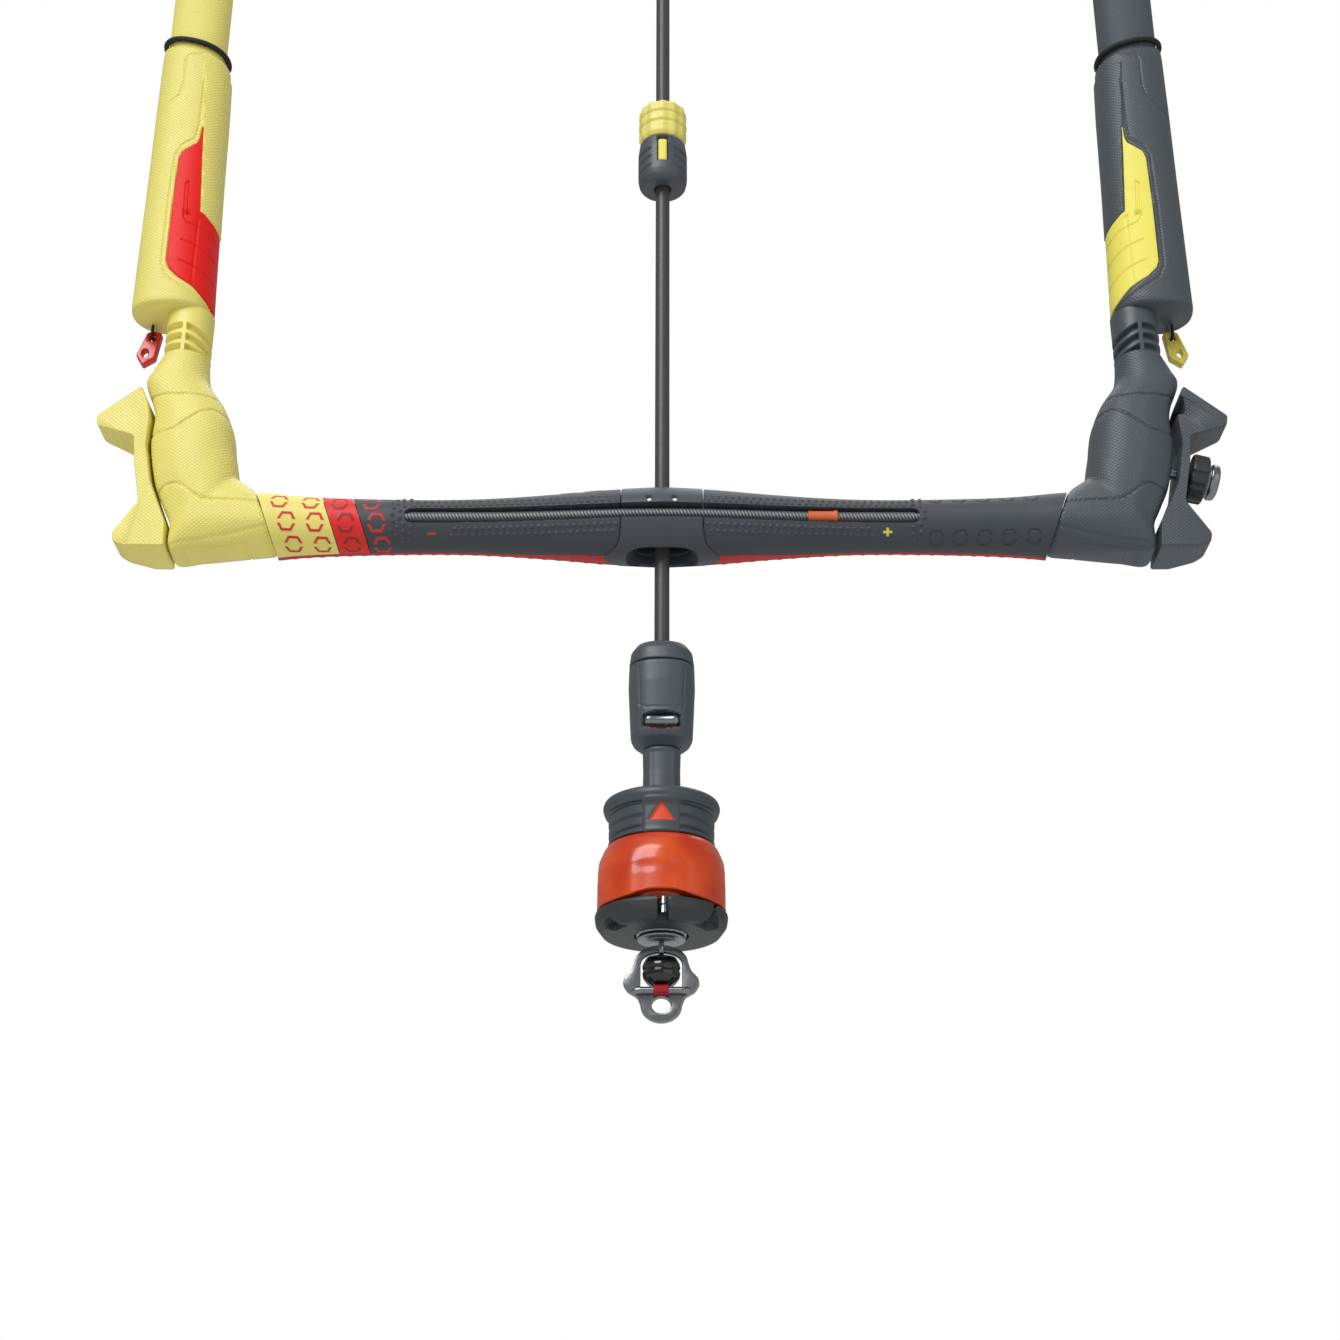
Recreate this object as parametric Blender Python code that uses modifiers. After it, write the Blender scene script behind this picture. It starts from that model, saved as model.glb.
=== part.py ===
"""Kite control bar with its depower line, trim stopper and quick release, as separate solids.

Sizes are in millimetres about the bar's centre: X along the bar, Z up the depower line to the
kite, -Y towards the rider's face. MM turns them into metres. The whole object hangs from the
eye at the kite end of the depower line, which is the world's origin.
"""
import math

import bmesh
import bpy
import numpy as np
from mathutils import Matrix, Vector

MM = 0.001
GAP = 0.3
EYE_ABOVE_BAR = 386.0

ROPE_RADIUS = 3.75
ROPE_TOP = 352.0
ROPE_BOTTOM = -73.5

BAR_SEAM = 199.0
SEAM_SLOPE = 0.346
BLOCK_HALF = 20.7
GRIP_PROFILE = ((21.0, 19.4), (26.0, 18.9), (52.0, 16.7), (92.0, 14.2), (147.0, 14.2),
                (170.0, 14.9), (183.0, 15.7), (198.0, 17.2), (212.0, 18.0))
RED_BAND = 151.5
YELLOW_BAND = 167.0
GRIP_SPLIT_Y = 1.0
CORE_RADIUS = 10.0
CORE_END = 206.0
LEAD_START = 204.0
SLOT_HALF_LENGTH = 128.5
SLOT_HALF_HEIGHT = 3.65
TRIM_LINE_RADIUS = 2.1
TRIM_LINE_Y = -11.2
MARKER_X = (73.0, 88.0)
TUNNEL = (14.0, -7.0, 9.5)
BLOCK_SLOT_FLOOR = -7.7

END_DEPTH = 17.2
HORN_DEPTH = 14.0
HORN_OUTLINE = ((266.4, 73.9), (288.7, 57.3), (287.5, 51.4), (268.6, 45.6), (267.1, 31.1),
                (261.8, 8.2), (273.9, -9.9), (272.9, -14.9), (268.0, -17.0), (250.0, -17.2),
                (250.2, -1.5), (257.0, 12.7), (261.0, 25.3), (264.4, 45.6), (264.0, 57.3),
                (264.4, 66.0))

KNOB_TILT = math.radians(13.7)
KNOB_BASE = (268.5, 0.0, 28.6)
KNOB_RADIUS = 12.5
KNOB_LENGTH = 8.75
BUTTON_RADIUS = 9.3
AXLE_RADIUS = 3.0
DRUM_RADIUS = 8.0
POCKET_RADIUS = 12.4
RATCHET_TEETH = 16
PULLEY_PLACE = (-247.0, 0.0, 34.0)
PULLEY_RADIUS = 6.0

NECK_X = 250.5
NECK_HALF_WIDTH = 13.2
NECK_DEPTH = 12.0
NECK_BOTTOM = 97.4
FLOAT_BOTTOM = 124.0
FLOAT_STEP = 290.0
FLOAT_TOP = 380.0
RING_HEIGHT = 297.6
RING_SLOPE = 4.3 / 18.1
FLOAT_FLEX = math.radians(15.0)
FLOAT_PIVOT = (NECK_X, 0.0, 99.0)
TAB_PIVOT = (270.5, 10.0, 117.5)

STOPPER_RADIUS = 13.3
STOPPER_BOTTOM = 207.0
STOPPER_SPLIT = 236.0
STOPPER_TOP = 259.0
STOPPER_BORE = 4.3

HEAD_TOP = -67.0
CAP_SEAM = -79.0
HEAD_BOTTOM = -122.0
STEM_RADIUS = 9.0
CUFF_RADIUS = 31.2
BASE_TOP = -181.0
BASE_STEP = -204.0
BASE_BOTTOM = -214.5
BEARING_RADIUS = 12.2
SHACKLE_PIVOT = (0.0, 0.0, -220.6)
SHACKLE_HALF_THICKNESS = 1.8

COLOURS = {
    "slate_plastic": ((0.075, 0.088, 0.098, 1), 0.55, 0.0),
    "yellow_plastic": ((0.86, 0.80, 0.30, 1), 0.5, 0.0),
    "slate_foam": ((0.055, 0.064, 0.07, 1), 0.7, 0.0),
    "red_foam": ((0.75, 0.03, 0.02, 1), 0.65, 0.0),
    "yellow_foam": ((0.86, 0.80, 0.30, 1), 0.65, 0.0),
    "red_plastic": ((0.80, 0.02, 0.01, 1), 0.4, 0.0),
    "orange_cuff": ((0.62, 0.05, 0.0, 1), 0.08, 0.0),
    "red_tab": ((0.55, 0.02, 0.01, 1), 0.1, 0.0),
    "yellow_tab": ((0.75, 0.68, 0.2, 1), 0.12, 0.0),
    "black_plastic": ((0.012, 0.012, 0.014, 1), 0.35, 0.0),
    "steel": ((0.55, 0.55, 0.56, 1), 0.25, 1.0),
    "core_aluminium": ((0.5, 0.51, 0.53, 1), 0.4, 1.0),
    "line_coating": ((0.045, 0.045, 0.045, 1), 0.5, 0.0),
    "trim_braid": ((0.35, 0.37, 0.38, 1), 0.6, 0.0),
    "black_cord": ((0.012, 0.012, 0.012, 1), 0.7, 0.0),
    "red_cord": ((0.5, 0.03, 0.04, 1), 0.7, 0.0),
    "marker_plastic": ((0.55, 0.16, 0.06, 1), 0.45, 0.0),
}

PARTS = "kite_control_bar"
CUTTERS = "cutters"


def clear_scene():
    """Remove whatever the file holds and make the two collections."""
    for obj in list(bpy.data.objects):
        bpy.data.objects.remove(obj, do_unlink=True)
    for name in (PARTS, CUTTERS):
        group = bpy.data.collections.new(name)
        bpy.context.scene.collection.children.link(group)


def make_materials():
    """One plain Principled material for each finish in COLOURS."""
    for name, (colour, roughness, metallic) in COLOURS.items():
        made = bpy.data.materials.new(name)
        made.use_nodes = True
        shader = made.node_tree.nodes["Principled BSDF"]
        shader.inputs["Base Color"].default_value = colour
        shader.inputs["Roughness"].default_value = roughness
        shader.inputs["Metallic"].default_value = metallic


def world(place):
    """The world position, in metres, of a place given in millimetres about the bar's centre."""
    return Vector((place[0], place[1], place[2] - EYE_ABOVE_BAR)) * MM


def hub(name, place, parent=None):
    """An empty on a joint's axis, which carries a body's pieces."""
    made = bpy.data.objects.new(name, None)
    made.empty_display_size = 0.01
    made.location = world(place)
    bpy.data.collections[PARTS].objects.link(made)
    bpy.context.view_layer.update()
    carry(made, parent)
    return made


def carry(obj, parent):
    """Parent an object without moving it."""
    if parent is None:
        return
    obj.parent = parent
    obj.matrix_parent_inverse = parent.matrix_world.inverted()
    bpy.context.view_layer.update()


def register(obj, finish, parent, place=(0, 0, 0), aim=(0, 0, 1)):
    """Place an object with its own Z along aim, and make it a part, or a cutter if no finish."""
    group = CUTTERS if finish is None else PARTS
    bpy.data.collections[group].objects.link(obj)
    obj.location = world(place)
    obj.rotation_mode = "QUATERNION"
    obj.rotation_quaternion = Vector((0, 0, 1)).rotation_difference(Vector(aim).normalized())
    if finish is None:
        obj.hide_render = True
        obj.display_type = "WIRE"
    else:
        obj.data.materials.append(bpy.data.materials[finish])
        carry(obj, parent)
    return obj


def from_bmesh(name, built, smooth=False):
    """A new object with the mesh that bmesh has built, facing outwards."""
    bmesh.ops.recalc_face_normals(built, faces=built.faces)
    data = bpy.data.meshes.new(name)
    built.to_mesh(data)
    built.free()
    if smooth:
        data.shade_smooth()
        data.set_sharp_from_angle(angle=math.radians(35))
    return bpy.data.objects.new(name, data)


def box(name, low, high, finish=None, parent=None, bevel=0.0):
    """A box between two corners, with rounded edges if bevel is given."""
    low, high = Vector(low), Vector(high)
    built = bmesh.new()
    bmesh.ops.create_cube(built, size=1.0)
    bmesh.ops.scale(built, vec=(high - low) * MM, verts=built.verts)
    obj = register(from_bmesh(name, built), finish, parent, (low + high) / 2)
    if bevel:
        rounding = obj.modifiers.new("rounding", "BEVEL")
        rounding.width = bevel * MM
        rounding.segments = 2
    return obj


def rod(name, start, end, radius, finish=None, parent=None, sides=20, end_radius=None):
    """A cylinder, or a cone, from one point to another."""
    start, end = Vector(start), Vector(end)
    built = bmesh.new()
    tip = radius if end_radius is None else end_radius
    bmesh.ops.create_cone(built, cap_ends=True, segments=sides, radius1=radius * MM,
                          radius2=tip * MM, depth=(end - start).length * MM)
    obj = from_bmesh(name, built, smooth=True)
    return register(obj, finish, parent, (start + end) / 2, end - start)


def turned(name, profile, finish=None, parent=None, place=(0, 0, 0), aim=(0, 0, 1),
           steps=24, closed=False):
    """A profile of (radius, height) points, outer side from the top down, turned about aim."""
    data = bpy.data.meshes.new(name)
    count = len(profile)
    edges = [(i, i + 1) for i in range(count - 1)]
    if closed:
        edges.append((count - 1, 0))
    data.from_pydata([(r * MM, 0, z * MM) for r, z in profile], edges, [])
    obj = register(bpy.data.objects.new(name, data), finish, parent, place, aim)
    screw = obj.modifiers.new("turn", "SCREW")
    screw.axis = "Z"
    screw.steps = steps
    screw.render_steps = steps
    screw.use_merge_vertices = True
    screw.merge_threshold = 0.00001
    screw.use_smooth_shade = False
    return obj


def flat_curve(name, outlines, thickness):
    """A 2D curve filled on both sides: the first outline is the edge, the others are holes."""
    curve = bpy.data.curves.new(name, "CURVE")
    curve.dimensions = "2D"
    curve.fill_mode = "BOTH"
    curve.extrude = thickness / 2 * MM
    for outline in outlines:
        spline = curve.splines.new("POLY")
        spline.points.add(len(outline) - 1)
        for point, (x, y) in zip(spline.points, outline):
            point.co = (x * MM, y * MM, 0, 1)
        spline.use_cyclic_u = True
    return bpy.data.objects.new(name, curve)


def as_mesh(curve_object):
    """A curve object made a welded mesh object, so that it can be cut or can cut."""
    bpy.context.view_layer.update()
    graph = bpy.context.evaluated_depsgraph_get()
    data = bpy.data.meshes.new_from_object(curve_object.evaluated_get(graph))
    built = bmesh.new()
    built.from_mesh(data)
    bmesh.ops.remove_doubles(built, verts=built.verts, dist=0.000001)
    bmesh.ops.recalc_face_normals(built, faces=built.faces)
    built.to_mesh(data)
    built.free()
    name = curve_object.name
    made = bpy.data.objects.new(name + "_solid", data)
    curve_object.users_collection[0].objects.link(made)
    made.matrix_world = curve_object.matrix_world
    made.hide_render = curve_object.hide_render
    made.display_type = curve_object.display_type
    parent = curve_object.parent
    bpy.data.objects.remove(curve_object, do_unlink=True)
    made.name = name
    bpy.context.view_layer.update()
    carry_kept(made, parent)
    return made


def carry_kept(obj, parent):
    """Parent an object that already has its world matrix."""
    if parent is None:
        return
    kept = obj.matrix_world.copy()
    obj.parent = parent
    obj.matrix_parent_inverse = parent.matrix_world.inverted()
    obj.matrix_basis = kept
    bpy.context.view_layer.update()


def plate(name, outlines, y_from, y_to, finish=None, parent=None):
    """Outlines in the XZ plane, made solid from y_from to y_to."""
    obj = flat_curve(name, outlines, y_to - y_from)
    register(obj, finish, parent, (0, (y_from + y_to) / 2, 0))
    obj.rotation_mode = "XYZ"
    obj.rotation_euler = (math.pi / 2, 0, 0)
    return as_mesh(obj)


def tube(name, points, radius, finish=None, parent=None, cyclic=False):
    """A round wire through the points."""
    curve = bpy.data.curves.new(name, "CURVE")
    curve.dimensions = "3D"
    curve.bevel_depth = radius * MM
    curve.bevel_resolution = 2
    curve.use_fill_caps = not cyclic
    spline = curve.splines.new("POLY")
    spline.points.add(len(points) - 1)
    for point, place in zip(spline.points, points):
        point.co = (place[0] * MM, place[1] * MM, place[2] * MM, 1)
    spline.use_cyclic_u = cyclic
    return register(bpy.data.objects.new(name, curve), finish, parent)


def ring(inner, outer, depth, power=2.0, centre_y=0.0, count=20):
    """A rounded section between two (x, z) points, with half depth along Y.

    Power 2 is an ellipse, and a higher power is squarer.
    """
    inner, outer = np.array(inner), np.array(outer)
    turn = np.arange(count) * 2 * math.pi / count
    across = np.sign(np.cos(turn)) * np.abs(np.cos(turn)) ** (2 / power)
    deep = np.sign(np.sin(turn)) * np.abs(np.sin(turn)) ** (2 / power)
    middle, half = (inner + outer) / 2, (outer - inner) / 2
    flat = middle + half * across[:, None]
    return np.column_stack([flat[:, 0], centre_y + depth * deep, flat[:, 1]])


def loft(name, sections, finish=None, parent=None):
    """A skin over sections with equal point counts, closed at both ends."""
    built = bmesh.new()
    rows = [[built.verts.new(Vector(point) * MM) for point in section] for section in sections]
    count = len(rows[0])
    for row, following in zip(rows, rows[1:]):
        for i in range(count):
            j = (i + 1) % count
            built.faces.new((row[i], row[j], following[j], following[i]))
    built.faces.new(rows[0])
    built.faces.new(rows[-1])
    return register(from_bmesh(name, built, smooth=True), finish, parent)


def boolean(obj, tool, operation="DIFFERENCE"):
    """Cut, join or intersect one mesh object with another, exactly."""
    change = obj.modifiers.new(operation.lower(), "BOOLEAN")
    change.operation = operation
    change.solver = "EXACT"
    change.object = tool
    return obj


def mirrored(points, side):
    """Points (x, ...) for the right side, turned over to the left when side is -1."""
    flipped = [(point[0] * side,) + tuple(point[1:]) for point in points]
    return flipped if side > 0 else flipped[::-1]


def on_knob_axis(distance, side=1):
    """The point on the knob's axis at a distance outwards from the knob's base."""
    x, y, z = KNOB_BASE
    reach, drop = distance * math.cos(KNOB_TILT), distance * math.sin(KNOB_TILT)
    return (side * (x + reach), y, z - drop)


# --- depower line -------------------------------------------------------------------------

def make_line():
    """The rope, and the swaged eye at its kite end."""
    tube("depower_line", [(0, 0, ROPE_BOTTOM), (0, 0, ROPE_TOP)], ROPE_RADIUS, "line_coating")
    profile = ((0, 374.0), (3.0, 373.6), (6.0, 368.0), (6.5, 364.0), (6.5, 354.0),
               (5.6, ROPE_TOP + GAP), (0, ROPE_TOP + GAP))
    terminal = turned("line_end_eye", profile, "steel", steps=20)
    bpy.ops.mesh.primitive_torus_add(major_segments=24, minor_segments=10,
                                     major_radius=8.2 * MM, minor_radius=2.2 * MM)
    eye = bpy.context.object
    eye.name = "eye_ring"
    eye.users_collection[0].objects.unlink(eye)
    register(eye, None, None, (0, 0, 380.0), (0, 1, 0))
    boolean(terminal, eye, "UNION")


def make_stopper(body, twist):
    """The stopper on the line: grey body, its yellow insert and the yellow locking ring."""
    r = STOPPER_RADIUS
    outer = ((STOPPER_BORE, STOPPER_SPLIT), (r - 1.5, STOPPER_SPLIT), (r - 0.6, 233.0),
             (r, 226.0), (r, 215.0), (r - 1.0, 209.0), (r - 2.6, STOPPER_BOTTOM),
             (STOPPER_BORE, STOPPER_BOTTOM))
    shell = turned("stopper_body", outer, "slate_plastic", body, closed=True)
    boolean(shell, box("stopper_window", (-3.6, -20, 215), (3.6, -8.5, 231)))
    box("stopper_insert", (-3.2, -12.4, 215.4), (3.2, -8.9, 230.6), "yellow_plastic", body)
    low = STOPPER_SPLIT + GAP
    lock = ((STOPPER_BORE, STOPPER_TOP), (r - 2.2, STOPPER_TOP), (r - 0.4, 257.0),
            (r - 0.4, 252.0), (r - 1.4, 251.0), (r - 0.4, 250.0), (r - 0.4, 246.0),
            (r - 1.4, 245.0), (r - 0.4, 244.0), (r - 0.6, 238.0), (r - 1.6, low),
            (STOPPER_BORE, low))
    turned("stopper_ring", lock, "yellow_plastic", twist, closed=True)


# --- quick release ------------------------------------------------------------------------

def make_release_head():
    """The head that grips the rope's end, its cap and the cross pin in the front window."""
    cap = ((4.2, HEAD_TOP), (9.0, HEAD_TOP), (13.0, -69.0), (15.2, -73.0), (15.8, CAP_SEAM),
           (4.2, CAP_SEAM))
    turned("head_cap", cap, "slate_plastic", closed=True)
    body = ((0, CAP_SEAM - GAP), (15.9, CAP_SEAM - GAP), (15.9, -82.0), (15.2, -113.0),
            (13.6, -117.0), (STEM_RADIUS, HEAD_BOTTOM), (0, HEAD_BOTTOM))
    head = turned("release_head", body, "slate_plastic")
    boolean(head, box("head_window", (-9.2, -20, -114.3), (9.2, -5.5, -107.7), bevel=1.5))
    rod("head_pin", (-8.2, -9.6, -110.6), (8.2, -9.6, -110.6), 2.5, "steel", sides=16)


def make_release_body():
    """The fixed stem and base that the sliding sleeve closes over, and the latch pin."""
    stem = ((0, HEAD_BOTTOM - GAP), (STEM_RADIUS, HEAD_BOTTOM - GAP), (9.2, -149.7),
            (11.4, -150.0), (11.4, -153.0), (8.8, -153.3), (8.8, BASE_TOP + GAP),
            (0, BASE_TOP + GAP))
    turned("release_stem", stem, "slate_plastic")
    base = ((0, BASE_TOP), (20.0, BASE_TOP), (22.5, -184.0), (22.5, BASE_STEP),
            (CUFF_RADIUS, BASE_STEP), (CUFF_RADIUS + 0.2, -211.0), (29.0, BASE_BOTTOM),
            (BEARING_RADIUS + 0.4, BASE_BOTTOM), (BEARING_RADIUS + 0.4, -210.6),
            (6.9, -210.6), (6.9, -202.0), (0, -202.0))
    body = turned("release_base", base, "black_plastic", steps=32)
    boolean(body, box("latch_slot", (-1.2, -40, -213.0), (3.6, -23.5, -203.0)))
    boolean(body, box("right_pocket", (15.0, -24.0, -220.0), (26.0, -13.0, -208.0)))
    boolean(body, rod("left_pocket", (-20.5, -15.0, -220.0), (-20.5, -15.0, -208.0), 6.0))
    rod("latch_pin", (1.2, -27.0, -203.8), (1.2, -27.0, -211.5), 1.6, "steel", sides=12,
        end_radius=2.1)


def make_release_sleeve(body):
    """The ribbed collar the rider pushes, and the glossy cuff moulded on below it."""
    collar = ((12.0, -147.6), (24.5, -148.0), (27.4, -150.0), (28.0, -152.4), (26.4, -157.0),
              (24.8, -160.0), (25.2, -164.0), (24.8, -167.0), (25.4, -171.0), (9.5, -171.0),
              (9.5, -168.3), (12.0, -168.3))
    turned("release_collar", collar, "slate_plastic", body, closed=True, steps=32)
    cuff = ((25.5, -171.3), (28.4, -176.0), (31.0, -182.0), (CUFF_RADIUS, -190.0),
            (CUFF_RADIUS, -203.6), (23.2, -203.6), (23.2, -173.4), (23.2, -171.3))
    turned("release_cuff", cuff, "orange_cuff", body, closed=True, steps=32)


def make_release_spring(turns=3, low=-168.0, high=-153.6, radius=10.2, wire=0.75):
    """The coil between the stem's flange and the collar's floor."""
    count = turns * 12
    points = []
    for i in range(count + 1):
        angle = 2 * math.pi * turns * i / count
        height = low + wire + (high - low - 2 * wire) * i / count
        points.append((radius * math.cos(angle), radius * math.sin(angle), height))
    tube("release_spring", points, wire, "steel")


def make_swivel(cage, spindle):
    """The roller cage and the spindle that turns under the base, with the shackle's eye."""
    race = ((6.9, -211.0), (BEARING_RADIUS, -211.0), (BEARING_RADIUS, -214.8), (6.9, -214.8))
    turned("bearing_cage", race, "steel", cage, closed=True)
    profile = ((0, -203.0), (6.5, -203.0), (6.5, -215.1), (11.0, -215.1), (11.4, -216.5),
               (10.6, -217.2), (3.4, -217.6), (0, -217.6))
    shaft = turned("swivel_spindle", profile, "steel", spindle)
    bpy.ops.mesh.primitive_torus_add(major_segments=20, minor_segments=8,
                                     major_radius=4.0 * MM, minor_radius=1.2 * MM)
    eye = bpy.context.object
    eye.name = "spindle_eye"
    eye.users_collection[0].objects.unlink(eye)
    register(eye, None, None, SHACKLE_PIVOT, (1, 0, 0))
    boolean(shaft, eye, "UNION")


def arc(centre, radius, start, end, count, squash=1.0):
    """Points on a circle in the XZ plane, from one angle to another, in degrees."""
    steps = [math.radians(start + (end - start) * i / (count - 1)) for i in range(count)]
    return [(centre[0] + radius * math.cos(a), centre[1] + radius * squash * math.sin(a))
            for a in steps]


def make_shackle(body):
    """The flat steel shackle, the ball in its window, the tie bar and its lashing."""
    right = [(12.4, -227.0), (13.8, -231.0), (17.2, -234.5), (17.7, -237.5), (15.6, -241.0),
             (11.0, -243.6), (9.6, -247.0)]
    arch = arc((0, -227.0), 12.4, 0, 180, 11, squash=0.66)
    foot = arc((0, -247.2), 9.6, -180, 0, 9, squash=0.85)
    left = [(-x, z) for x, z in right[::-1]]
    outline = arch[:-1] + left[::-1] + foot[1:-1] + right[::-1][:-1]
    window = arc((0, -227.5), 9.6, 0, 180, 11, squash=0.53) + [(-9.6, -239.6), (9.6, -239.6)]
    eye = arc((0, -247.4), 4.4, 0, 342, 20, squash=0.85)
    half = SHACKLE_HALF_THICKNESS
    plate("shackle", [outline, window, eye], -half, half, "steel", body)
    ball = ((0, -228.4), (6.2, -228.4), (6.2, -224.6), (8.2, -227.2), (9.0, -231.0),
            (8.4, -234.6), (6.4, -237.2), (3.2, -238.8), (0, -239.2))
    turned("shackle_ball", ball, "black_plastic", body)
    bar_y = -half - 3.0
    route = [(-12.6, -half - 2.0, -241.2), (-11.4, bar_y, -241.2), (11.4, bar_y, -241.2),
             (12.6, -half - 2.0, -241.2)]
    tube("tie_bar", route, 1.6, "steel", body)
    sleeve = ((1.9, 3.5), (2.6, 3.2), (2.6, -3.2), (1.9, -3.5))
    turned("red_lashing", sleeve, "red_cord", body, place=(0, bar_y, -241.2), aim=(1, 0, 0),
           closed=True, steps=12)


# --- bar ----------------------------------------------------------------------------------

def seam_outline(side, x_from, x_to, slant_from=False, slant_to=True):
    """A slab of the bar between two X stations, with slanted ends where asked."""
    reach = 30.0
    low_from = x_from - (SEAM_SLOPE * reach if slant_from else 0)
    high_from = x_from + (SEAM_SLOPE * reach if slant_from else 0)
    low_to = x_to - (SEAM_SLOPE * reach if slant_to else 0)
    high_to = x_to + (SEAM_SLOPE * reach if slant_to else 0)
    corners = [(low_from, -reach), (low_to, -reach), (high_to, reach), (high_from, reach)]
    return mirrored(corners, side)


def grip_piece(name, side, x_from, x_to, front, finish, body, slant_from=False):
    """One shell of the hand grip, over the core, between two stations."""
    bore = CORE_RADIUS + GAP
    outer = [(r, x) for x, r in GRIP_PROFILE[::-1]]
    profile = outer + [(bore, GRIP_PROFILE[0][0]), (bore, GRIP_PROFILE[-1][0])]
    shell = turned(name, profile, finish, body, aim=(side, 0, 0), closed=True)
    half_gap = GAP / 2
    slab = [seam_outline(side, x_from + half_gap, x_to - half_gap, slant_from)]
    if front:
        tool = plate(name + "_slab", slab, -30.0, GRIP_SPLIT_Y - half_gap)
    else:
        tool = plate(name + "_slab", slab, GRIP_SPLIT_Y + half_gap, 30.0)
    boolean(shell, tool, "INTERSECT")
    return shell


def make_grips(body):
    """Front and back grip shells on both sides, with the coloured bands on the left."""
    slot = box("grip_slot", (-SLOT_HALF_LENGTH, -30, -SLOT_HALF_HEIGHT),
               (SLOT_HALF_LENGTH, 0, SLOT_HALF_HEIGHT))
    groove = box("line_groove", (-CORE_END, -13.8, -2.6), (CORE_END, 0, 2.6))
    start = BLOCK_HALF + GAP
    for side, word in ((-1, "left"), (1, "right")):
        front_end = RED_BAND if side < 0 else BAR_SEAM
        front = grip_piece(f"grip_front_{word}", side, start, front_end, True, "slate_foam", body)
        boolean(front, slot)
        boolean(front, groove)
        grip_piece(f"grip_back_{word}", side, start, BAR_SEAM, False, "red_foam", body)
    red = grip_piece("grip_band_red", -1, RED_BAND, YELLOW_BAND, True, "red_foam", body, True)
    yellow = grip_piece("grip_band_yellow", -1, YELLOW_BAND, BAR_SEAM, True, "yellow_foam", body,
                        True)
    for band in (red, yellow):
        boolean(band, groove)


def make_centre(body):
    """The block the depower line passes through, and the smooth bush in its tunnel."""
    half = BLOCK_HALF
    profile = ((0, half), (19.6, half), (20.2, half - 4.0), (20.3, 0), (20.2, 4.0 - half),
               (19.6, -half), (0, -half))
    block = turned("centre_block", profile, "slate_plastic", body, aim=(1, 0, 0), steps=32)
    width, front, back = TUNNEL
    boolean(block, box("tunnel", (-width, front, -40), (width, back, 40), bevel=5.0))
    boolean(block, box("front_slot", (-40, -30, -SLOT_HALF_HEIGHT),
                       (40, BLOCK_SLOT_FLOOR, SLOT_HALF_HEIGHT)))
    for side in (-1, 1):
        hole = rod(f"sight_hole_{side}", (side * 6.4, -26, 2.0), (side * 6.4, 26, 25.2), 1.1,
                   sides=10)
        boolean(block, hole)
    rim = box("tunnel_bush", (-width + GAP, front + GAP, -18.6), (width - GAP, back - GAP, 18.6),
              "slate_plastic", body, bevel=4.7)
    wall = 1.6
    boolean(rim, box("bush_bore", (wall - width, front + wall, -40),
                     (width - wall, back - wall, 40), bevel=3.6))


def make_core(body):
    """Two slotted aluminium tubes that carry the grips and the trim line's channel."""
    for side, word in ((-1, "left"), (1, "right")):
        start, end = side * (BLOCK_HALF + GAP), side * CORE_END
        core = rod(f"core_{word}", (start, 0, 0), (end, 0, 0), CORE_RADIUS, "core_aluminium",
                   body, sides=24)
        low, high = sorted((side * 10, side * 230))
        boolean(core, box(f"channel_{word}", (low, -20, -SLOT_HALF_HEIGHT),
                          (high, -7.4, SLOT_HALF_HEIGHT)))
        boolean(core, rod(f"core_bore_{word}", (side * 10, 1, 0), (side * 230, 1, 0), 5.0,
                          sides=16))


def end_sections():
    """The bar end's sections from the grip seam up to the neck, on the right side."""
    stations = (
        ((204.6, 15.8), (193.9, -15.4), 17.0, 2.0),
        ((207.5, 19.5), (213.0, -16.4), 17.4, 2.2),
        ((211.5, 22.6), (232.0, -17.0), 17.8, 2.5),
        ((214.7, 25.0), (246.4, -17.2), 18.0, 2.8),
        ((216.0, 28.5), (247.4, -1.5), 18.4, 2.8),
        ((217.0, 34.0), (254.0, 12.7), 18.8, 2.8),
        ((218.6, 41.9), (258.2, 27.0), 19.0, 2.8),
        ((219.6, 49.0), (261.5, 45.6), 18.8, 2.8),
        ((221.4, 56.7), (261.1, 57.3), 18.0, 2.6),
        ((226.5, 68.7), (261.5, 66.2), 16.4, 2.4),
        ((233.6, 79.5), (266.1, 76.3), 14.8, 2.2),
        ((235.8, 86.0), (267.0, 85.0), 13.8, 2.1),
        ((237.0, 97.0), (264.0, 97.0), 12.4, 2.0),
    )
    return stations


def make_bar_end(side, word, finish, body):
    """A moulded bar end: a lofted elbow with sockets for the core, the winch and the line."""
    sections = []
    for inner, outer, depth, power in end_sections():
        section = ring(inner, outer, depth, power)
        section[:, 0] *= side
        sections.append(section)
    elbow = loft(f"bar_end_{word}", sections, finish, body)
    boolean(elbow, rod(f"core_socket_{word}", (side * 180, 0, 0), (side * (CORE_END + GAP), 0, 0),
                       CORE_RADIUS + GAP))
    boolean(elbow, rod(f"winch_pocket_{word}", on_knob_axis(6, side), on_knob_axis(-31, side),
                       POCKET_RADIUS))
    low, high = sorted((side * 188, side * (LEAD_START + 4)))
    boolean(elbow, box(f"lead_groove_{word}", (low, -13.9, -2.9), (high, -4, 4.0)))
    start, end = trim_lead(side)
    boolean(elbow, rod(f"lead_bore_{word}", start, end, TRIM_LINE_RADIUS + 0.8, sides=12))
    return elbow


def trim_lead(side):
    """Where the trim line leaves the core and where it meets the drum or the pulley."""
    return ((side * LEAD_START, TRIM_LINE_Y, 0), (side * 238.5, -9.6, 25.0))


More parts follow.
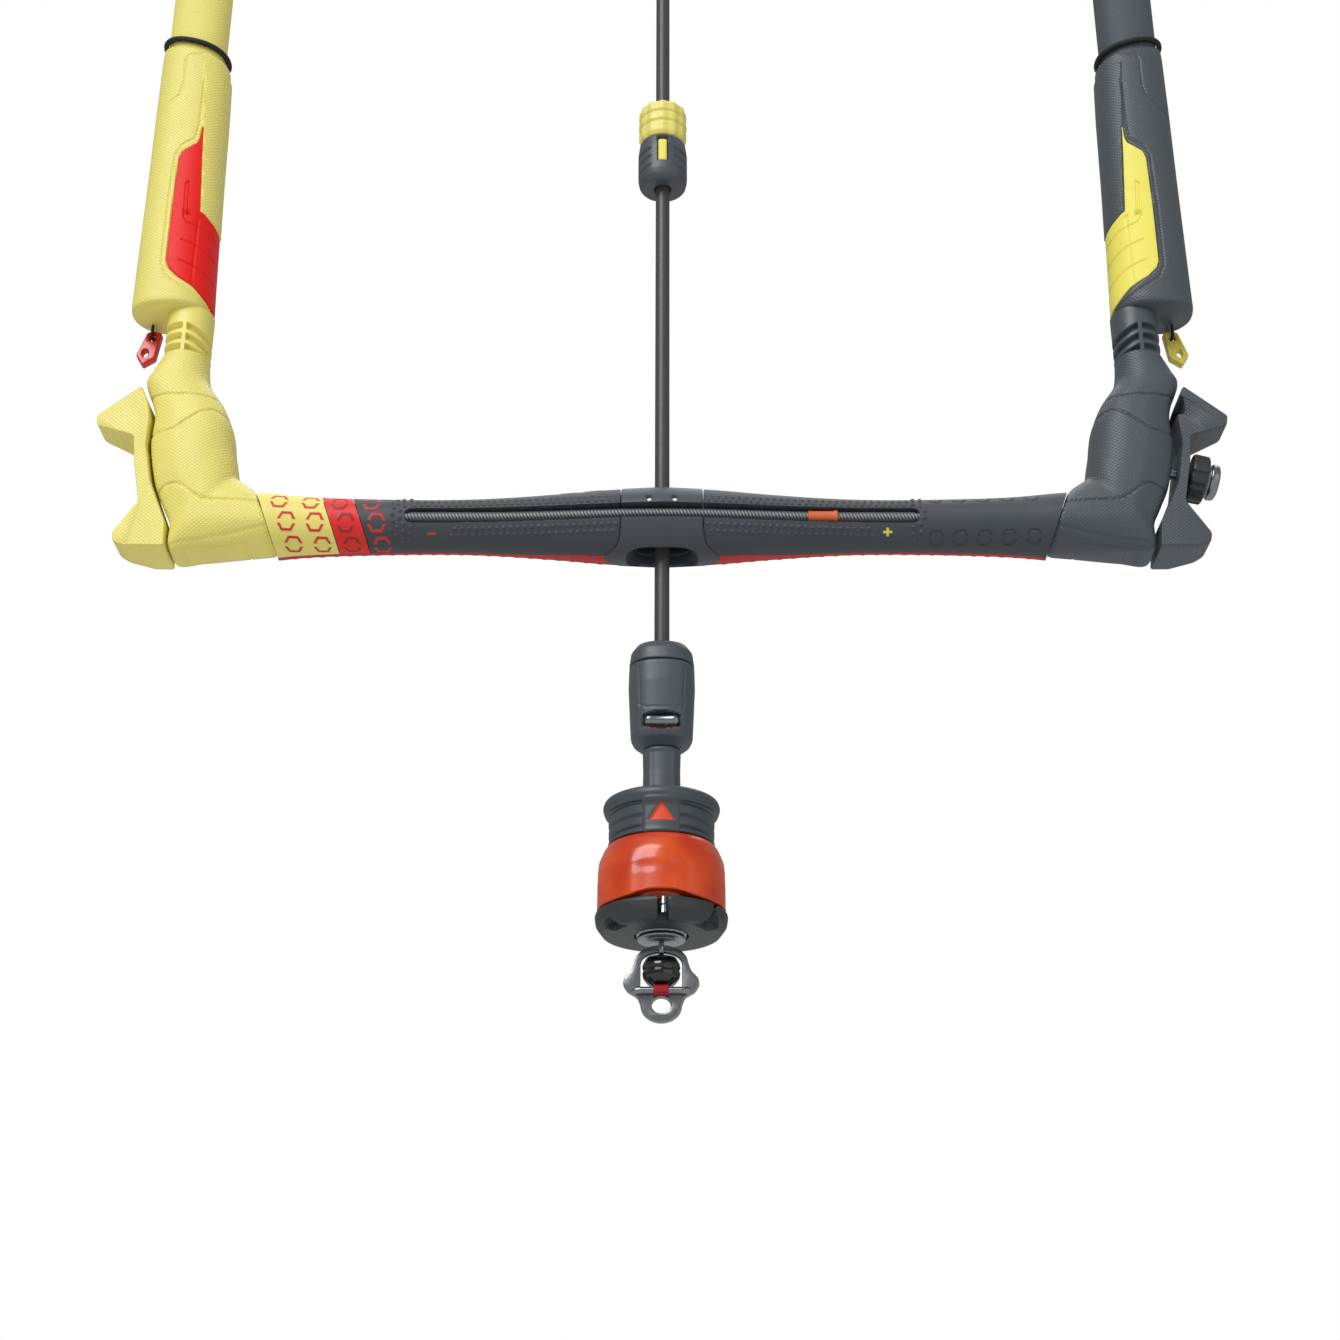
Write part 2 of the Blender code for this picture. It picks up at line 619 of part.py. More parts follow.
def make_horn(side, word, finish, body):
    """The hard faceted winding horn outside a bar end."""
    outline = mirrored(HORN_OUTLINE, side)
    horn = plate(f"horn_{word}", [outline], -HORN_DEPTH, HORN_DEPTH, finish, body)
    if side > 0:
        boolean(horn, rod("axle_bore", on_knob_axis(-14), on_knob_axis(3), AXLE_RADIUS + 0.5))
    rounding = horn.modifiers.new("rounding", "BEVEL")
    rounding.width = 0.8 * MM
    rounding.segments = 1
    rounding.limit_method = "ANGLE"
    rounding.angle_limit = math.radians(50)


def make_trim(body, marker, pulley):
    """The trim line in its channel, its orange marker and the return pulley."""
    route = list(trim_lead(-1)[::-1]) + list(trim_lead(1))
    tube("trim_line", route, TRIM_LINE_RADIUS, "trim_braid", body)
    low, high = MARKER_X
    length = high - low
    sleeve = ((2.4, length / 2), (3.2, length / 2), (3.2, -length / 2), (2.4, -length / 2))
    turned("trim_marker", sleeve, "marker_plastic", marker,
           place=((low + high) / 2, TRIM_LINE_Y, 0), aim=(1, 0, 0), closed=True, steps=16)
    x, y, z = PULLEY_PLACE
    r = PULLEY_RADIUS
    wheel = ((1.9, 2.4), (r, 2.4), (r - 1.2, 0), (r, -2.4), (1.9, -2.4))
    turned("return_pulley", wheel, "black_plastic", pulley, place=PULLEY_PLACE, aim=(0, 1, 0),
           closed=True, steps=20)
    rod("pulley_pin", (x, y - 4.2, z), (x, y + 4.2, z), 1.6, "steel", body, sides=12)



# --- knob and winch -----------------------------------------------------------------------

def make_winch(knob, button, pawl):
    """The knob, its push button, and the axle, drum, ratchet and pawl behind it."""
    aim = (math.cos(KNOB_TILT), 0, -math.sin(KNOB_TILT))
    base = KNOB_BASE
    r, top = KNOB_RADIUS, KNOB_LENGTH
    cap = ((0, 1.5), (BUTTON_RADIUS + 0.4, 1.5), (BUTTON_RADIUS + 0.4, top), (r - 1.0, top),
           (r, top - 1.0), (r, 0.8), (r - 0.8, 0), (0, 0))
    turned("knob", cap, "black_plastic", knob, base, aim)
    push = ((0, top + 6.4), (7.4, top + 6.4), (BUTTON_RADIUS - 0.5, top + 5.4),
            (BUTTON_RADIUS, top + 3.6), (BUTTON_RADIUS, 6.5), (0, 6.5))
    turned("release_button", push, "steel", button, base, aim)
    turned("button_washer", ((5.0, 2.9), (8.6, 2.9), (8.6, 1.8), (5.0, 1.8)), "steel", knob,
           base, aim, closed=True)
    rod("winch_axle", on_knob_axis(-30), on_knob_axis(-GAP), AXLE_RADIUS, "steel", knob,
        sides=16)
    bore = AXLE_RADIUS + GAP
    drum = ((bore, -19.5), (10.2, -19.5), (10.2, -20.5), (DRUM_RADIUS, -21.2),
            (DRUM_RADIUS, -27.3), (10.2, -28.0), (10.2, -29.0), (bore, -29.0))
    turned("winch_drum", drum, "black_plastic", knob, base, aim, closed=True)
    make_ratchet_wheel(knob, aim, bore)
    low, high = on_knob_axis(-18.6), on_knob_axis(-15.6)
    place = [(a + b) / 2 for a, b in zip(low, high)]
    rod("ratchet_pawl", (place[0] + 2.5, 3.5, place[2] + 10.0),
        (place[0] + 2.5, -3.0, place[2] + 10.0), 0.9, "steel", pawl, sides=10)


def make_ratchet_wheel(knob, aim, bore):
    """A saw-toothed wheel on the winch's axle."""
    outline = []
    for i in range(RATCHET_TEETH):
        for share, radius in ((0.0, 9.0), (0.92, 7.4)):
            angle = 2 * math.pi * (i + share) / RATCHET_TEETH
            outline.append((radius * math.cos(angle), radius * math.sin(angle)))
    hole = [(bore * math.cos(a), bore * math.sin(a))
            for a in (2 * math.pi * i / 16 for i in range(16))]
    wheel = flat_curve("ratchet_wheel", [outline, hole], 2.6)
    register(wheel, "steel", knob, on_knob_axis(-17.1), aim)
    as_mesh(wheel)


# --- floats -------------------------------------------------------------------------------

def make_neck(side, word, finish, body):
    """The flexible neck between bar end and float, pared below so that it can lean."""
    x = side * NECK_X
    low = ring((x - NECK_HALF_WIDTH, NECK_BOTTOM), (x + NECK_HALF_WIDTH, NECK_BOTTOM),
               NECK_DEPTH, 2.2)
    high = low.copy()
    high[:, 2] = FLOAT_BOTTOM - GAP
    neck = loft(f"neck_{word}", [low, high], finish, body)
    lift = math.tan(FLOAT_FLEX + math.radians(1.0)) * 30
    wedge = [(x, NECK_BOTTOM), (x + 30, NECK_BOTTOM + lift), (x + 30, 60), (x - 30, 60),
             (x - 30, NECK_BOTTOM + lift)]
    boolean(neck, plate(f"neck_wedge_{word}", [wedge], -30, 30))


def float_sections(side):
    """Sections of the float's sleeve from its foot to its top."""
    stations = ((FLOAT_BOTTOM, 259.0, 20.6, 16.6), (128.0, 259.0, 21.3, 17.2),
                (146.0, 259.2, 20.9, 17.0), (210.0, 259.8, 19.8, 16.2),
                (254.0, 260.1, 19.4, 15.8), (285.0, 260.4, 18.7, 15.3),
                (FLOAT_STEP - GAP, 260.5, 17.9, 14.7))
    sections = []
    for z, x, width, depth in stations:
        centre = side * x
        sections.append(ring((centre - width, z), (centre + width, z), depth, 2.3, count=24))
    return sections


def insert_outline(side, grow=0.0):
    """The coloured insert in the front of a float, made larger by grow all round."""
    shape = ((250.5, 246.0), (260.3, 219.0), (261.4, 150.0), (259.0, 143.0), (246.0, 133.5),
             (242.5, 136.0), (242.5, 180.0), (247.0, 186.0))
    centre = (252.0, 180.0)
    wide = []
    for x, z in shape:
        dx, dz = x - centre[0], z - centre[1]
        reach = math.hypot(dx, dz)
        wide.append((x + grow * dx / reach, z + grow * dz / reach))
    return mirrored(wide, side)


def make_float(side, word, finish, insert_finish, body):
    """A float: lower sleeve with its insert, upper foam tube and the rubber ring between."""
    sleeve = loft(f"float_sleeve_{word}", float_sections(side), finish, body)
    pocket = plate(f"insert_pocket_{word}", [insert_outline(side, 0.5)], -40, -8.5)
    boolean(sleeve, pocket)
    insert = loft(f"float_insert_{word}", float_sections(side), insert_finish, body)
    boolean(insert, plate(f"insert_slab_{word}", [insert_outline(side)], -40, -9.0), "INTERSECT")
    x = side * 260.8
    heights = ((FLOAT_STEP, 15.9, 12.9), (FLOAT_TOP - 8, 15.9, 12.9),
               (FLOAT_TOP - 2, 14.4, 11.4), (FLOAT_TOP, 11.5, 9.2))
    sections = [ring((x - width, z), (x + width, z), depth, 2.2, count=24)
                for z, width, depth in heights]
    loft(f"float_foam_{word}", sections, finish, body)
    loop = ring((x - 18.1, RING_HEIGHT), (x + 18.1, RING_HEIGHT), 15.0, 2.2, count=28)
    loop[:, 2] += side * RING_SLOPE * (loop[:, 0] - x)
    tube(f"float_ring_{word}", [tuple(p) for p in loop], 1.7, "black_cord", body, cyclic=True)


def make_tab(side, word, finish, float_hub, tab_hub):
    """The pull tab under the float and the cord loop it hangs on."""
    shape = mirrored(((266.4, 121.0), (273.0, 121.4), (278.2, 106.5), (274.4, 100.9),
                      (268.5, 105.3)), side)
    x, y, z = TAB_PIVOT
    tab = plate(f"tab_{word}", [shape], y - 2.4, y + 2.4, finish, tab_hub)
    boolean(tab, rod(f"tab_hole_{word}", (side * x, y - 9, z), (side * x, y + 9, z), 1.9,
                     sides=12))
    top = FLOAT_BOTTOM - GAP
    turn = math.pi / 6
    bend = [(side * x, y + 4.0 * math.cos(math.pi + i * turn), z + 1.9 * math.sin(math.pi + i * turn))
            for i in range(7)]
    lifted = [(px, py, pz + 1.9) for px, py, pz in bend]
    route = [(side * x, y - 4.0, top)] + lifted + [(side * x, y + 4.0, top)]
    tube(f"tab_cord_{word}", route, 0.8, "black_cord", float_hub)


def main():
    clear_scene()
    make_materials()
    make_line()
    stopper = hub("stopper_hub", (0, 0, STOPPER_BOTTOM))
    make_stopper(stopper, hub("stopper_ring_hub", (0, 0, STOPPER_SPLIT), stopper))
    make_release_head()
    make_release_body()
    make_release_sleeve(hub("sleeve_hub", (0, 0, -171.0)))
    make_release_spring()
    spindle = hub("spindle_hub", (0, 0, -215.0))
    make_swivel(hub("cage_hub", (0, 0, -213.0)), spindle)
    make_shackle(hub("shackle_hub", SHACKLE_PIVOT, spindle))
    bar = hub("bar_hub", (0, 0, 0))
    make_centre(bar)
    make_core(bar)
    make_grips(bar)
    make_trim(bar, hub("marker_hub", (80.5, TRIM_LINE_Y, 0), bar),
              hub("pulley_hub", PULLEY_PLACE, bar))
    knob = hub("knob_hub", KNOB_BASE, bar)
    make_winch(knob, hub("button_hub", KNOB_BASE, knob), hub("pawl_hub", on_knob_axis(-17), bar))
    looks = {-1: ("left", "yellow_plastic", "red_plastic", "red_tab"),
             1: ("right", "slate_plastic", "yellow_plastic", "yellow_tab")}
    for side, (word, finish, insert_finish, tab_finish) in looks.items():
        make_bar_end(side, word, finish, bar)
        make_horn(side, word, finish, bar)
        x, y, z = FLOAT_PIVOT
        float_hub = hub(f"float_hub_{word}", (side * x, y, z), bar)
        make_neck(side, word, finish, float_hub)
        make_float(side, word, finish, insert_finish, float_hub)
        x, y, z = TAB_PIVOT
        tab_hub = hub(f"tab_hub_{word}", (side * x, y, z), float_hub)
        make_tab(side, word, tab_finish, float_hub, tab_hub)


main()
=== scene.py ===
"""Finished look of the kite control bar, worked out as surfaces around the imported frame.

Sizes are in millimetres about the bar's centre: X along the bar, Z up the line to the kite and
-Y towards the rider. skin() turns them into metres below the eye that the object hangs from.
"""
import math

import bmesh
import bpy
import numpy as np
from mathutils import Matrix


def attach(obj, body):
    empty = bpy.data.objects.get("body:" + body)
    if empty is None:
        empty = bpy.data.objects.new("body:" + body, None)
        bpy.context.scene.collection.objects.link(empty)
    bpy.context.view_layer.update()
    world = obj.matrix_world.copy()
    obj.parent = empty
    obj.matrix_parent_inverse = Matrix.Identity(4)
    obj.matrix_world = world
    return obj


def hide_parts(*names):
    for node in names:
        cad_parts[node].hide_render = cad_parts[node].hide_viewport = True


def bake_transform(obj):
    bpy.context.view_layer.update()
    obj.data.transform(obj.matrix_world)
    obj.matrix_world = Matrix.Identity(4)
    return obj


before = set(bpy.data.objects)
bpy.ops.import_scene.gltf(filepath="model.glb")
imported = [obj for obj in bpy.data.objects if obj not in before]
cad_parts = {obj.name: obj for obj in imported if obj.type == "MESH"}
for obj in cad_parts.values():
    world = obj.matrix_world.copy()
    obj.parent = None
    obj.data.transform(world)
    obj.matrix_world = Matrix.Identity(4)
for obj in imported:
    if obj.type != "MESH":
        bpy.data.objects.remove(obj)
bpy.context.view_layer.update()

MM = 0.001
EYE_ABOVE_BAR = 386.0
LINE_SPAN = (-73.5, 352.0)
LINE_RADIUS = 3.75

RADIUS_AT = (0, 26, 52, 92, 147, 170, 183, 198, 212)
RADII = (20.2, 18.9, 16.7, 14.2, 14.2, 14.9, 15.7, 17.2, 18.0)
GRIP_SPAN = (21.0, 198.8)
CORE_RADIUS = 10.35
SEAM_SLOPE = 0.346
SLOT_END = 124.7
SLOT_FLOOR = 8.2
SLOT_HALF = 3.9
TUNNEL_HALF = (14.0, 8.25)
TUNNEL_Y = 1.25
TUNNEL_POWER = 3.2
SIGHT_X = 6.4
SIGHT_START = 3.0
TRIM_Y = -11.2
TRIM_BOW = 4.3
TRIM_RADIUS = 1.9
TRIM_PITCH = 1.7
FLOAT_POWER = 2.3
FLOAT_X = 260.9
INSERT_SPAN = (125.4, 238.0)
PLAQUE_CORNER = (246.9, 183.6)
INSERT_LEAN = 0.058
KNOB_BASE = (268.5, 0.0, 28.6)
KNOB_TILT = math.radians(13.7)
KNURL_PITCHES = (2.3, 1.9)


# --- camera, light and floor --------------------------------------------------------------

def add_camera():
    """The viewpoint: in front of the bar and below it, looking up by 24 degrees."""
    data = bpy.data.cameras.new("camera")
    data.lens = 57.76
    data.sensor_width = 36.0
    data.clip_end = 30.0
    camera = bpy.data.objects.new("camera", data)
    camera.location = (0.0040, -0.9627, -0.8934)
    camera.rotation_euler = (math.radians(90 + 24), 0, 0)
    bpy.context.scene.collection.objects.link(camera)
    bpy.context.scene.camera = camera


def add_sun(name, aim, angle, strength):
    """A broad sun whose light travels along aim, soft by its angle in degrees."""
    data = bpy.data.lights.new(name, "SUN")
    data.angle = math.radians(angle)
    data.energy = strength
    lamp = bpy.data.objects.new(name, data)
    flat = math.hypot(aim[0], aim[1])
    lamp.rotation_euler = (math.atan2(flat, -aim[2]), 0, math.atan2(-aim[0], aim[1]))
    bpy.context.scene.collection.objects.link(lamp)


def add_surroundings():
    """White surroundings, seen as pure white but lighting the object more softly."""
    world = bpy.data.worlds.new("studio")
    world.use_nodes = True
    bpy.context.scene.world = world
    tree = world.node_tree
    back = tree.nodes["Background"]
    back.inputs["Color"].default_value = (1, 1, 1, 1)
    path = tree.nodes.new("ShaderNodeLightPath")
    strength = mapped(tree, path.outputs["Is Camera Ray"], (0.0, 1.0), (0.30, 1.0))
    tree.links.new(strength, back.inputs["Strength"])
    bpy.context.scene.view_settings.view_transform = "Standard"
    add_sun("key", (0.45, 1.0, -0.85), 35, 2.1)
    add_sun("fill", (-0.9, 1.0, 0.05), 60, 0.45)
    add_sun("top", (-0.1, -0.35, -1.0), 50, 0.9)


# --- finishes -----------------------------------------------------------------------------

def tone(red, green, blue):
    """A display colour from 0 to 255 as the light it stands for."""
    share = np.array([red, green, blue]) / 255.0
    low, high = share / 12.92, ((share + 0.055) / 1.055) ** 2.4
    return tuple(np.where(share <= 0.04045, low, high)) + (1.0,)


def noise(tree, source, size, detail=2.0):
    """A noise texture whose features are about size millimetres across."""
    made = tree.nodes.new("ShaderNodeTexNoise")
    made.inputs["Scale"].default_value = 1000.0 / size
    made.inputs["Detail"].default_value = detail
    tree.links.new(source, made.inputs["Vector"])
    return made.outputs["Fac"]


def mapped(tree, value, source, target):
    """A value carried evenly from the source span to the target span."""
    made = tree.nodes.new("ShaderNodeMapRange")
    for label, end in zip(("From Min", "From Max", "To Min", "To Max"), source + target):
        made.inputs[label].default_value = end
    tree.links.new(value, made.inputs["Value"])
    return made.outputs["Result"]


def mix(tree, amount, first, second):
    """A colour mix; first and second are sockets or fixed colours."""
    made = tree.nodes.new("ShaderNodeMix")
    made.data_type = "RGBA"
    tree.links.new(amount, made.inputs["Factor"])
    for label, value in ((6, first), (7, second)):
        if isinstance(value, tuple):
            made.inputs[label].default_value = value
        else:
            tree.links.new(value, made.inputs[label])
    return made.outputs[2]


def mottled(tree, here, colour, mottle, veins):
    """Two close tones of a colour mixed by soft noise, over a cloud of veins if there are any."""
    base = np.array(tone(*colour))
    dark, light = base * (1 - mottle), np.minimum(base * (1 + mottle), 1.0)
    dark[3] = light[3] = 1.0
    paint = mix(tree, noise(tree, here, 14.0, 4.0), tuple(dark), tuple(light))
    if veins:
        cloud = mapped(tree, noise(tree, here, 22.0, 1.0), (0.35, 0.65), (0.0, 1.0))
        paint = mix(tree, cloud, tone(*veins), paint)
    return paint


def finish(name, colour, rough=0.5, metallic=0.0, grain=0.35, depth=0.03, mottle=0.07,
           coat=0.0, inlay=None, liner=None, veins=None, specular=0.5, weave=0.0):
    """A moulded or metal finish in the object's own space.

    Noise moves the colour and the roughness. The surface is lifted by a grain of the given
    depth, or by a knurl of the weave's depth. inlay and liner are the colours of the inked and
    the lined places, which the piece marks with attributes of those names. On the red band the
    inlay colour is painted shade for the embossed hexagon outlines.
    """
    made = bpy.data.materials.new(name)
    made.use_nodes = True
    tree = made.node_tree
    shader = tree.nodes["Principled BSDF"]
    shader.inputs["Metallic"].default_value = metallic
    shader.inputs["Coat Weight"].default_value = coat
    shader.inputs["Specular IOR Level"].default_value = specular
    here = tree.nodes.new("ShaderNodeTexCoord").outputs["Object"]
    paint = mottled(tree, here, colour, mottle, veins)
    for label, ink in (("inlay", inlay), ("liner", liner)):
        if ink:
            mark = tree.nodes.new("ShaderNodeAttribute")
            mark.attribute_name = label
            paint = mix(tree, mark.outputs["Fac"], paint, tone(*ink))
    tree.links.new(paint, shader.inputs["Base Color"])
    spread = (max(rough - 0.08, 0.02), min(rough + 0.08, 1.0))
    roughness = mapped(tree, noise(tree, here, 3.0, 6.0), (0.0, 1.0), spread)
    tree.links.new(roughness, shader.inputs["Roughness"])
    if depth:
        raised = crossed_waves(tree, here) if weave else noise(tree, here, grain)
        bump = tree.nodes.new("ShaderNodeBump")
        bump.inputs["Strength"].default_value = 1.0 if weave else 0.5
        bump.inputs["Distance"].default_value = (weave or depth) * MM
        tree.links.new(raised, bump.inputs["Height"])
        tree.links.new(bump.outputs["Normal"], shader.inputs["Normal"])
    return made


def crossed_waves(tree, here):
    """The knurl's height: the product of a wave along X and one along Z, in staggered rows."""
    split = tree.nodes.new("ShaderNodeSeparateXYZ")
    tree.links.new(here, split.inputs["Vector"])
    crossed = tree.nodes.new("ShaderNodeMath")
    crossed.operation = "MULTIPLY"
    crossed.use_clamp = True
    for socket, (axis, pitch) in enumerate(zip("XZ", KNURL_PITCHES)):
        scaled = tree.nodes.new("ShaderNodeMath")
        scaled.operation = "MULTIPLY"
        scaled.inputs[1].default_value = 2 * math.pi / (pitch * MM)
        tree.links.new(split.outputs[axis], scaled.inputs[0])
        wave = tree.nodes.new("ShaderNodeMath")
        wave.operation = "COSINE"
        tree.links.new(scaled.outputs["Value"], wave.inputs[0])
        tree.links.new(wave.outputs["Value"], crossed.inputs[socket])
    return crossed.outputs["Value"]


LEMON = (238, 226, 120)
SLATE = (72, 79, 86)
RUBBER = (60, 66, 72)
SCARLET = (226, 30, 24)
INK_RED = (205, 40, 36)

finishes = {
    "lemon": finish("lemon_nylon", LEMON, 0.42),
    "slate": finish("slate_nylon", SLATE, 0.42),
    "lemon_foam": finish("lemon_foam_skin", LEMON, 0.6, grain=0.8, depth=0.08, weave=0.17),
    "slate_foam": finish("slate_foam_skin", SLATE, 0.6, grain=0.8, depth=0.08, weave=0.17),
    "grip_left": finish("slate_rubber_red_ink", RUBBER, 0.55, inlay=INK_RED,
                        liner=(84, 89, 93)),
    "grip_right": finish("slate_rubber_lemon_ink", RUBBER, 0.55, inlay=(228, 216, 80),
                         liner=(84, 89, 93)),
    "block": finish("block_nylon", (64, 70, 76), 0.45, inlay=(225, 228, 230),
                    liner=(84, 89, 93)),
    "band_yellow": finish("lemon_rubber_red_ink", LEMON, 0.5, inlay=INK_RED),
    # the red band's hexagon outlines are coloured a darker red: painted shade for their embossed
    # edges, over outlines that the shell also raises
    "band_red": finish("red_rubber", SCARLET, 0.5, inlay=(150, 24, 22)),
    "red_rubber": finish("red_rubber_back", (190, 30, 28), 0.55),
    "scarlet": finish("scarlet_nylon", (240, 24, 20), 0.5, specular=0.3),
    "lemon_insert": finish("lemon_insert_nylon", (243, 232, 104), 0.5, specular=0.3),
    "lemon_weave": finish("lemon_nylon_knurled", LEMON, 0.42, weave=0.17),
    "slate_weave": finish("slate_nylon_knurled", SLATE, 0.42, weave=0.17),
    "cuff": finish("clear_orange_cuff", (216, 76, 1), 0.3, depth=0.0, coat=0.3,
                   veins=(190, 46, 2), mottle=0.06),
    "collar": finish("collar_nylon", (66, 73, 80), 0.42, inlay=(226, 70, 14)),
    "red_clear": finish("clear_red_tab", (206, 24, 16), 0.25, depth=0.0, coat=0.25),
    "lemon_clear": finish("clear_lemon_tab", (222, 206, 80), 0.25, depth=0.0, coat=0.25),
    "black": finish("black_nylon", (46, 50, 54), 0.45),
    "gloss_black": finish("gloss_black", (14, 14, 15), 0.12, depth=0.0, coat=0.6),
    "steel": finish("polished_steel", (142, 145, 149), 0.26, 1.0, grain=0.6, depth=0.01),
    "satin": finish("satin_aluminium", (190, 193, 196), 0.34, 1.0, grain=0.5, depth=0.02),
    "line": finish("coated_line", (66, 66, 66), 0.42, grain=1.2, depth=0.05),
    "braid": finish("trim_braid", (150, 154, 156), 0.5, inlay=(66, 69, 72)),
    "cord": finish("black_cord", (26, 27, 29), 0.7, depth=0.1),
    "lashing": finish("red_cord", (170, 26, 36), 0.7, depth=0.1),
    "marker": finish("marker_orange", (214, 104, 56), 0.45),
    "channel": finish("channel_tube", (92, 96, 99), 0.12, depth=0.0, coat=1.0),
}


# --- surfaces -----------------------------------------------------------------------------

def smooth(share):
    """A share from 0 to 1 that starts and ends level: 3t squared less 2t cubed."""
    share = np.clip(share, 0, 1)
    return share * share * (3 - 2 * share)


def below_eye(z):
    """A height above the bar in millimetres as metres above the eye, so below zero."""
    return (z - EYE_ABOVE_BAR) * MM


def inside(distance, edge=0.4):
    """1 where a distance to an outline is below zero, 0 above, with a ramp edge wide."""
    return smooth(0.5 - distance / edge)


def eased(at, stations, values):
    """A smooth curve through stations: cubics that share the slope at each station."""
    stations, values = np.array(stations, float), np.array(values, float)
    slope = np.gradient(values, stations)
    at = np.clip(at, stations[0], stations[-1])
    i = np.clip(np.searchsorted(stations, at) - 1, 0, len(stations) - 2)
    span = stations[i + 1] - stations[i]
    t = (at - stations[i]) / span
    t2, t3 = t * t, t * t * t
    start = values[i] * (2 * t3 - 3 * t2 + 1) + slope[i] * span * (t3 - 2 * t2 + t)
    return start + values[i + 1] * (3 * t2 - 2 * t3) + slope[i + 1] * span * (t3 - t2)


def trace(points, step=0.5, soften=0.5, closed=False):
    """A polyline at even steps, each point the mean of its neighbours within soften."""
    points = np.array(points, float)
    if closed:
        points = np.vstack([points, points[:1]])
    far = np.r_[0, np.cumsum(np.linalg.norm(np.diff(points, axis=0), axis=1))]
    count = max(int(far[-1] / step), 8)
    at = np.linspace(0, far[-1], count, endpoint=not closed)
    line = np.column_stack([np.interp(at, far, column) for column in points.T])
    reach = int(round(soften / step))
    if reach:
        if closed:
            padded = np.vstack([line[-reach:], line, line[:reach]])
        else:
            padded = np.vstack([2 * line[0] - line[reach:0:-1], line,
                                2 * line[-1] - line[-2:-reach - 2:-1]])
        kernel = np.ones(2 * reach + 1) / (2 * reach + 1)
        line = np.column_stack([np.convolve(column, kernel, "valid") for column in padded.T])
    return line


def volume_sign(places, quads):
    """1 if the quads face out of the shape they close, or -1: the sign of their volume."""
    a, b, c, d = (places[quads[:, k]] - places.mean(axis=0) for k in range(4))
    total = (a * np.cross(b, c)).sum() + (a * np.cross(c, d)).sum()
    return 1.0 if total >= 0 else -1.0


def side_quads(rows, cols, closed_rows):
    """The index grid of a tube of rows and columns, and its quads."""
    index = np.arange(rows * cols).reshape(rows, cols)
    walk = np.vstack([index, index[:1]]) if closed_rows else index
    beside = np.roll(walk, -1, axis=1)
    quads = np.stack([walk[:-1], beside[:-1], beside[1:], walk[1:]], axis=-1).reshape(-1, 4)
    return index, quads


def lift(grid, height, closed_rows=False):
    """Move each point of a grid outwards, square to the surface, by its height."""
    around = np.roll(grid, -1, axis=1) - np.roll(grid, 1, axis=1)
    if closed_rows:
        along = np.roll(grid, -1, axis=0) - np.roll(grid, 1, axis=0)
    else:
        along = np.gradient(grid, axis=0)
    outward = np.cross(around, along)
    outward /= np.linalg.norm(outward, axis=-1, keepdims=True) + 1e-9
    quads = side_quads(*grid.shape[:2], closed_rows)[1]
    return grid + outward * (volume_sign(grid.reshape(-1, 3), quads) * height)[..., None]


def end_faces(index, places, caps):
    """The places with any new middles, and the faces that close the first and last rows."""
    if caps == "flat":
        return places, [index[0][None, ::-1], index[-1][None, :]]
    if caps is None:
        return places, []
    fans = []
    for row, centre, step in ((index[0], len(places), 1), (index[-1], len(places) + 1, -1)):
        pair = np.stack([np.roll(row, -1), row][::step], axis=-1)
        fans.append(np.column_stack([np.full(len(row), centre), pair]))
    middles = [places[row].mean(axis=0) for row in (index[0], index[-1])]
    return np.vstack([places, middles]), fans


def stand(name, data, crease):
    """An object of a mesh, shaded smooth except at edges sharper than crease degrees."""
    data.shade_smooth()
    data.set_sharp_from_angle(angle=math.radians(crease))
    made = bpy.data.objects.new(name, data)
    bpy.context.scene.collection.objects.link(made)
    return made


def skin(name, grid, caps="fan", marks=None, crease=50):
    """A closed mesh over a grid whose columns run round and whose rows run along.

    caps closes the first and last rows: "fan" to their middle, "flat" with one face each, and
    None where the rows close on themselves. marks are values for each grid point by name.
    """
    rows, cols = grid.shape[:2]
    index, quads = side_quads(rows, cols, caps is None)
    places = grid.reshape(-1, 3)
    order = int(volume_sign(places, quads))
    places, closing = end_faces(index, places, caps)
    faces = [part[:, ::order] for part in [quads] + closing]
    loops = np.concatenate([part.ravel() for part in faces])
    sizes = np.concatenate([np.full(len(part), part.shape[1]) for part in faces])
    data = bpy.data.meshes.new(name)
    data.vertices.add(len(places))
    world = (places - (0, 0, EYE_ABOVE_BAR)) * MM
    data.vertices.foreach_set("co", world.ravel())
    data.loops.add(len(loops))
    data.loops.foreach_set("vertex_index", loops.astype(np.int32))
    data.polygons.add(len(sizes))
    starts = np.r_[0, np.cumsum(sizes)[:-1]]
    data.polygons.foreach_set("loop_start", starts.astype(np.int32))
    data.update(calc_edges=True)
    for label, values in (marks or {}).items():
        attribute = data.attributes.new(label, "FLOAT", "POINT")
        flat = np.zeros(len(places), np.float32)
        flat[:rows * cols] = values.ravel()
        attribute.data.foreach_set("value", flat)
    return stand(name, data, crease)


def dress(obj, body, slot, look, *nodes):
    """Give a new piece its finish and its body, and hide the CAD nodes it stands for; slot is not
    used.
    """
    obj.data.materials.append(finishes[look])
    if body:
        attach(obj, body)
    if nodes:
        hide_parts(*nodes)
    return obj


def rounded(angle, power=2.0):
    """A direction's point on a superellipse: its cosine and sine over their power norm.

    Power 2 is round and more is squarer.
    """
    c, s = np.cos(angle), np.sin(angle)
    reach = (np.abs(c) ** power + np.abs(s) ** power) ** (-1.0 / power)
    return c * reach, s * reach


def turned_grid(profile, steps=128, closed=False, power=2.0, step=0.5, soften=0.5, wide=1.0):
    """A (radius, height) profile turned about Z, with wide scaling it along X."""
    line = trace(profile, step, soften, closed)
    angle = np.linspace(0, 2 * math.pi, steps, endpoint=False)
    c, s = rounded(angle, power)
    radius = np.maximum(line[:, 0], 0.05)[:, None]
    parts = np.broadcast_arrays(radius * c * wide, radius * s, line[:, 1][:, None])
    return np.stack(parts, axis=-1)


